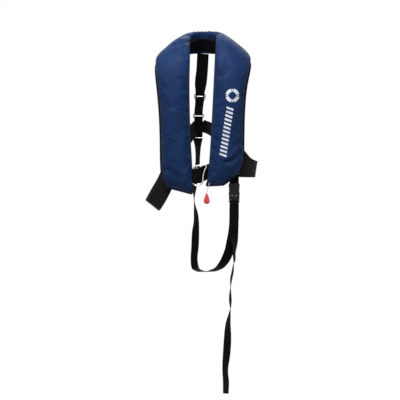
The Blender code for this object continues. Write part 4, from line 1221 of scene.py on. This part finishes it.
def build_plug():
    """Buckle plug: a slotted base that holds the webbing, a guide and two hooked prongs."""
    base_high, tip, base_half, slot_half = SOCKET_END - 0.0006, BUCKLE_TOP - 0.015, 0.0182, 0.0168
    slot_low, slot_high = PLUG_END + 0.0052, PLUG_END + 0.0094
    outline = [(0.0, PLUG_END), (base_half - 0.001, PLUG_END), (base_half, PLUG_END + 0.001),
               (base_half, base_high - 0.001), (base_half - 0.001, base_high), (0.0145, base_high),
               (0.014, tip - 0.006), (0.0128, tip - 0.002), (0.011, tip), (0.0094, tip - 0.003),
               (0.0092, base_high), (0.0032, base_high), (0.0032, tip - 0.005), (0.002, tip - 0.004),
               (0.0, tip - 0.004), (0.0, slot_high), (slot_half, slot_high), (slot_half, slot_low),
               (0.0, slot_low)]
    halves = [[(side * x, z) for x, z in outline[::side]] for side in (1, -1)]
    corners = list(dict.fromkeys(halves[0] + halves[1]))
    points = [(BUCKLE_X + x, BUCKLE_Y + y, z) for y in (-0.0029, 0.0029) for x, z in corners]
    faces = []
    for half in halves:
        front = [corners.index(corner) for corner in half]
        back = [len(corners) + index for index in front]
        faces += [front, back[::-1]]
        for n, (x, _) in enumerate(half):
            if x or half[n - 1][0]:
                faces.append((front[n], front[n - 1], back[n - 1], back[n]))
    made = face_outward(link_mesh("buckle_plug", points, faces))
    apply_bevel(made, 0.0005, 3)
    made.data.shade_smooth()
    made.data.set_sharp_from_angle(angle=math.radians(40))
    finish_piece(made, "crotch_front", "black_plastic", "crotch_buckle_plug")


def build_handle():
    """Braided cord and the glossy drop-shaped pull handle it holds."""
    cord = straight_rod("braided_cord", CORD_TOP, CORD_END, 26, oval_profile(0.0011, 0.0011, 12))
    finish_piece(cord, "pull_cord", "white_cord", "pull_cord")
    low = CORD_END[2] - 0.0018
    drop = [(0.0, -0.037), (0.0036, -0.0367), (0.0066, -0.0353), (0.009, -0.033), (0.0102, -0.0304),
            (0.0105, -0.028), (0.0104, -0.0256), (0.01, -0.023), (0.0092, -0.0198), (0.0081, -0.0162),
            (0.007, -0.013), (0.006, -0.01), (0.0049, -0.0072), (0.0036, -0.0048), (0.0027, -0.0026),
            (0.0021, -0.0008), (0.0012, 0.0)]
    profile = [(radius, low + z) for radius, z in drop]
    made = turned_piece("drop_handle", profile, (*CORD_END[:2], 0.0), "pull_toggle", "red_plastic",
                        "pull_toggle", flatten=0.62)
    add_subdivision(made)


def dress_cad_nodes():
    """Give each CAD node that stays visible its procedural material and slot."""
    looks = {
        "inflator_body": "black_plastic", "gas_cylinder": "cylinder_zinc", "sensor_cap": "yellow_plastic",
        "pull_lever": "black_plastic", "lever_pin": "steel", "piercing_pin": "steel",
        "service_clip": "green_plastic", "flange_nut": "cylinder_zinc", "oral_tube": "black_plastic",
        "oral_valve": "red_plastic", "oral_cap": "black_plastic", "whistle": "yellow_plastic",
        "whistle_cord": "white_cord", "reflective_patch_right": "reflective",
        "reflective_patch_left": "reflective",
    }
    for node, look in looks.items():
        materials = NODES[node].data.materials
        materials.clear()
        materials.append(LOOKS[look])


# ---------------------------------------------------------------- studio

def build_floor():
    """Pale round floor that fades out at its rim and is clear from below."""
    steps = 96
    floor = link_mesh("floor", [(FLOOR_RADIUS * math.cos(math.tau * n / steps),
                                 FLOOR_RADIUS * math.sin(math.tau * n / steps) - 0.1, FLOOR_Z)
                                for n in range(steps)], [tuple(range(steps))])
    made = new_material("pale_floor", (0.93, 0.93, 0.93), 0.8)
    flat = add_node(made, "ShaderNodeVectorMath", {0: surface_position(made), 1: (1, 1, 0)},
                    operation="MULTIPLY").outputs[0]
    far = add_node(made, "ShaderNodeVectorMath", {0: flat}, operation="LENGTH").outputs["Value"]
    fade = map_range(made, far, 0.5, FLOOR_RADIUS - 0.1, 1.0, 0.0)
    back = add_node(made, "ShaderNodeNewGeometry", {}).outputs["Backfacing"]
    feed_shader(made, "Alpha", math_node(made, "MULTIPLY", fade, math_node(made, "SUBTRACT", 1.0, back)))
    floor.data.materials.append(made)


def build_surroundings():
    """Plain white surroundings: full as a backdrop, bright in reflections, dim as a light."""
    world = bpy.data.worlds.new("studio")
    bpy.context.scene.world = world
    world.use_nodes = True
    background = world.node_tree.nodes["Background"]
    background.inputs["Color"].default_value = (1, 1, 1, 1)
    path = world.node_tree.nodes.new("ShaderNodeLightPath")
    strength = 0.2
    for output, extra in (("Is Camera Ray", 0.8), ("Is Glossy Ray", 0.55)):
        strength = math_node(world, "MULTIPLY_ADD", path.outputs[output], extra, strength)
    world.node_tree.links.new(strength, background.inputs["Strength"])


def build_lights():
    """Soft key from above the chest, a weaker fill and a light behind."""
    target = Vector((0, -0.15, 0.0))
    lamps = (("key", (-0.3, -1.1, 1.35), 1.0, 34.0), ("fill", (1.9, -2.2, 0.6), 1.8, 8.0),
             ("back", (0.3, 2.2, 1.6), 1.8, 30.0))
    for name, place, size, power in lamps:
        lamp = set_all(bpy.data.lights.new(name, "AREA"), size=size, energy=power)
        aim = (target - Vector(place)).to_track_quat("-Z", "Y").to_euler()
        set_all(link_object(name, lamp), location=place, rotation_euler=aim, visible_camera=False)


def build_camera():
    """Long lens level with the middle of the jacket, looking at the chest."""
    camera = set_all(bpy.data.cameras.new("camera"), sensor_width=SENSOR, clip_end=200,
                     lens=SENSOR * CAMERA_DISTANCE / FRAME_SIDE)
    holder = link_object("camera", camera)
    holder.location = (CENTRE_X, FRONT_PLANE - CAMERA_DISTANCE, CENTRE_Z)
    holder.rotation_euler = (math.radians(90), 0, 0)
    bpy.context.scene.camera = holder
    bpy.context.scene.view_settings.view_transform = "Standard"


STATIONS = horseshoe_stations(COVER_STEP)
cover_grid, cover_angles, cover = build_cover(STATIONS)
build_lining(STATIONS)
build_edge_tape(STATIONS)
build_bladder(STATIONS)
gusset_column = int(np.argmin(np.abs(cover_angles[len(cover_angles) // 4] - GUSSET_ANGLE)))
seam_stitches("gusset_stitches", cover_grid, (gusset_column - 1, gusset_column + 1), "navy_thread")
build_print(cover)
build_back()
build_waist_belt()
build_front_belts()
build_ring()
build_crotch_strap()
build_socket()
build_plug()
build_handle()
dress_cad_nodes()
build_floor()
build_surroundings()
build_lights()
build_camera()
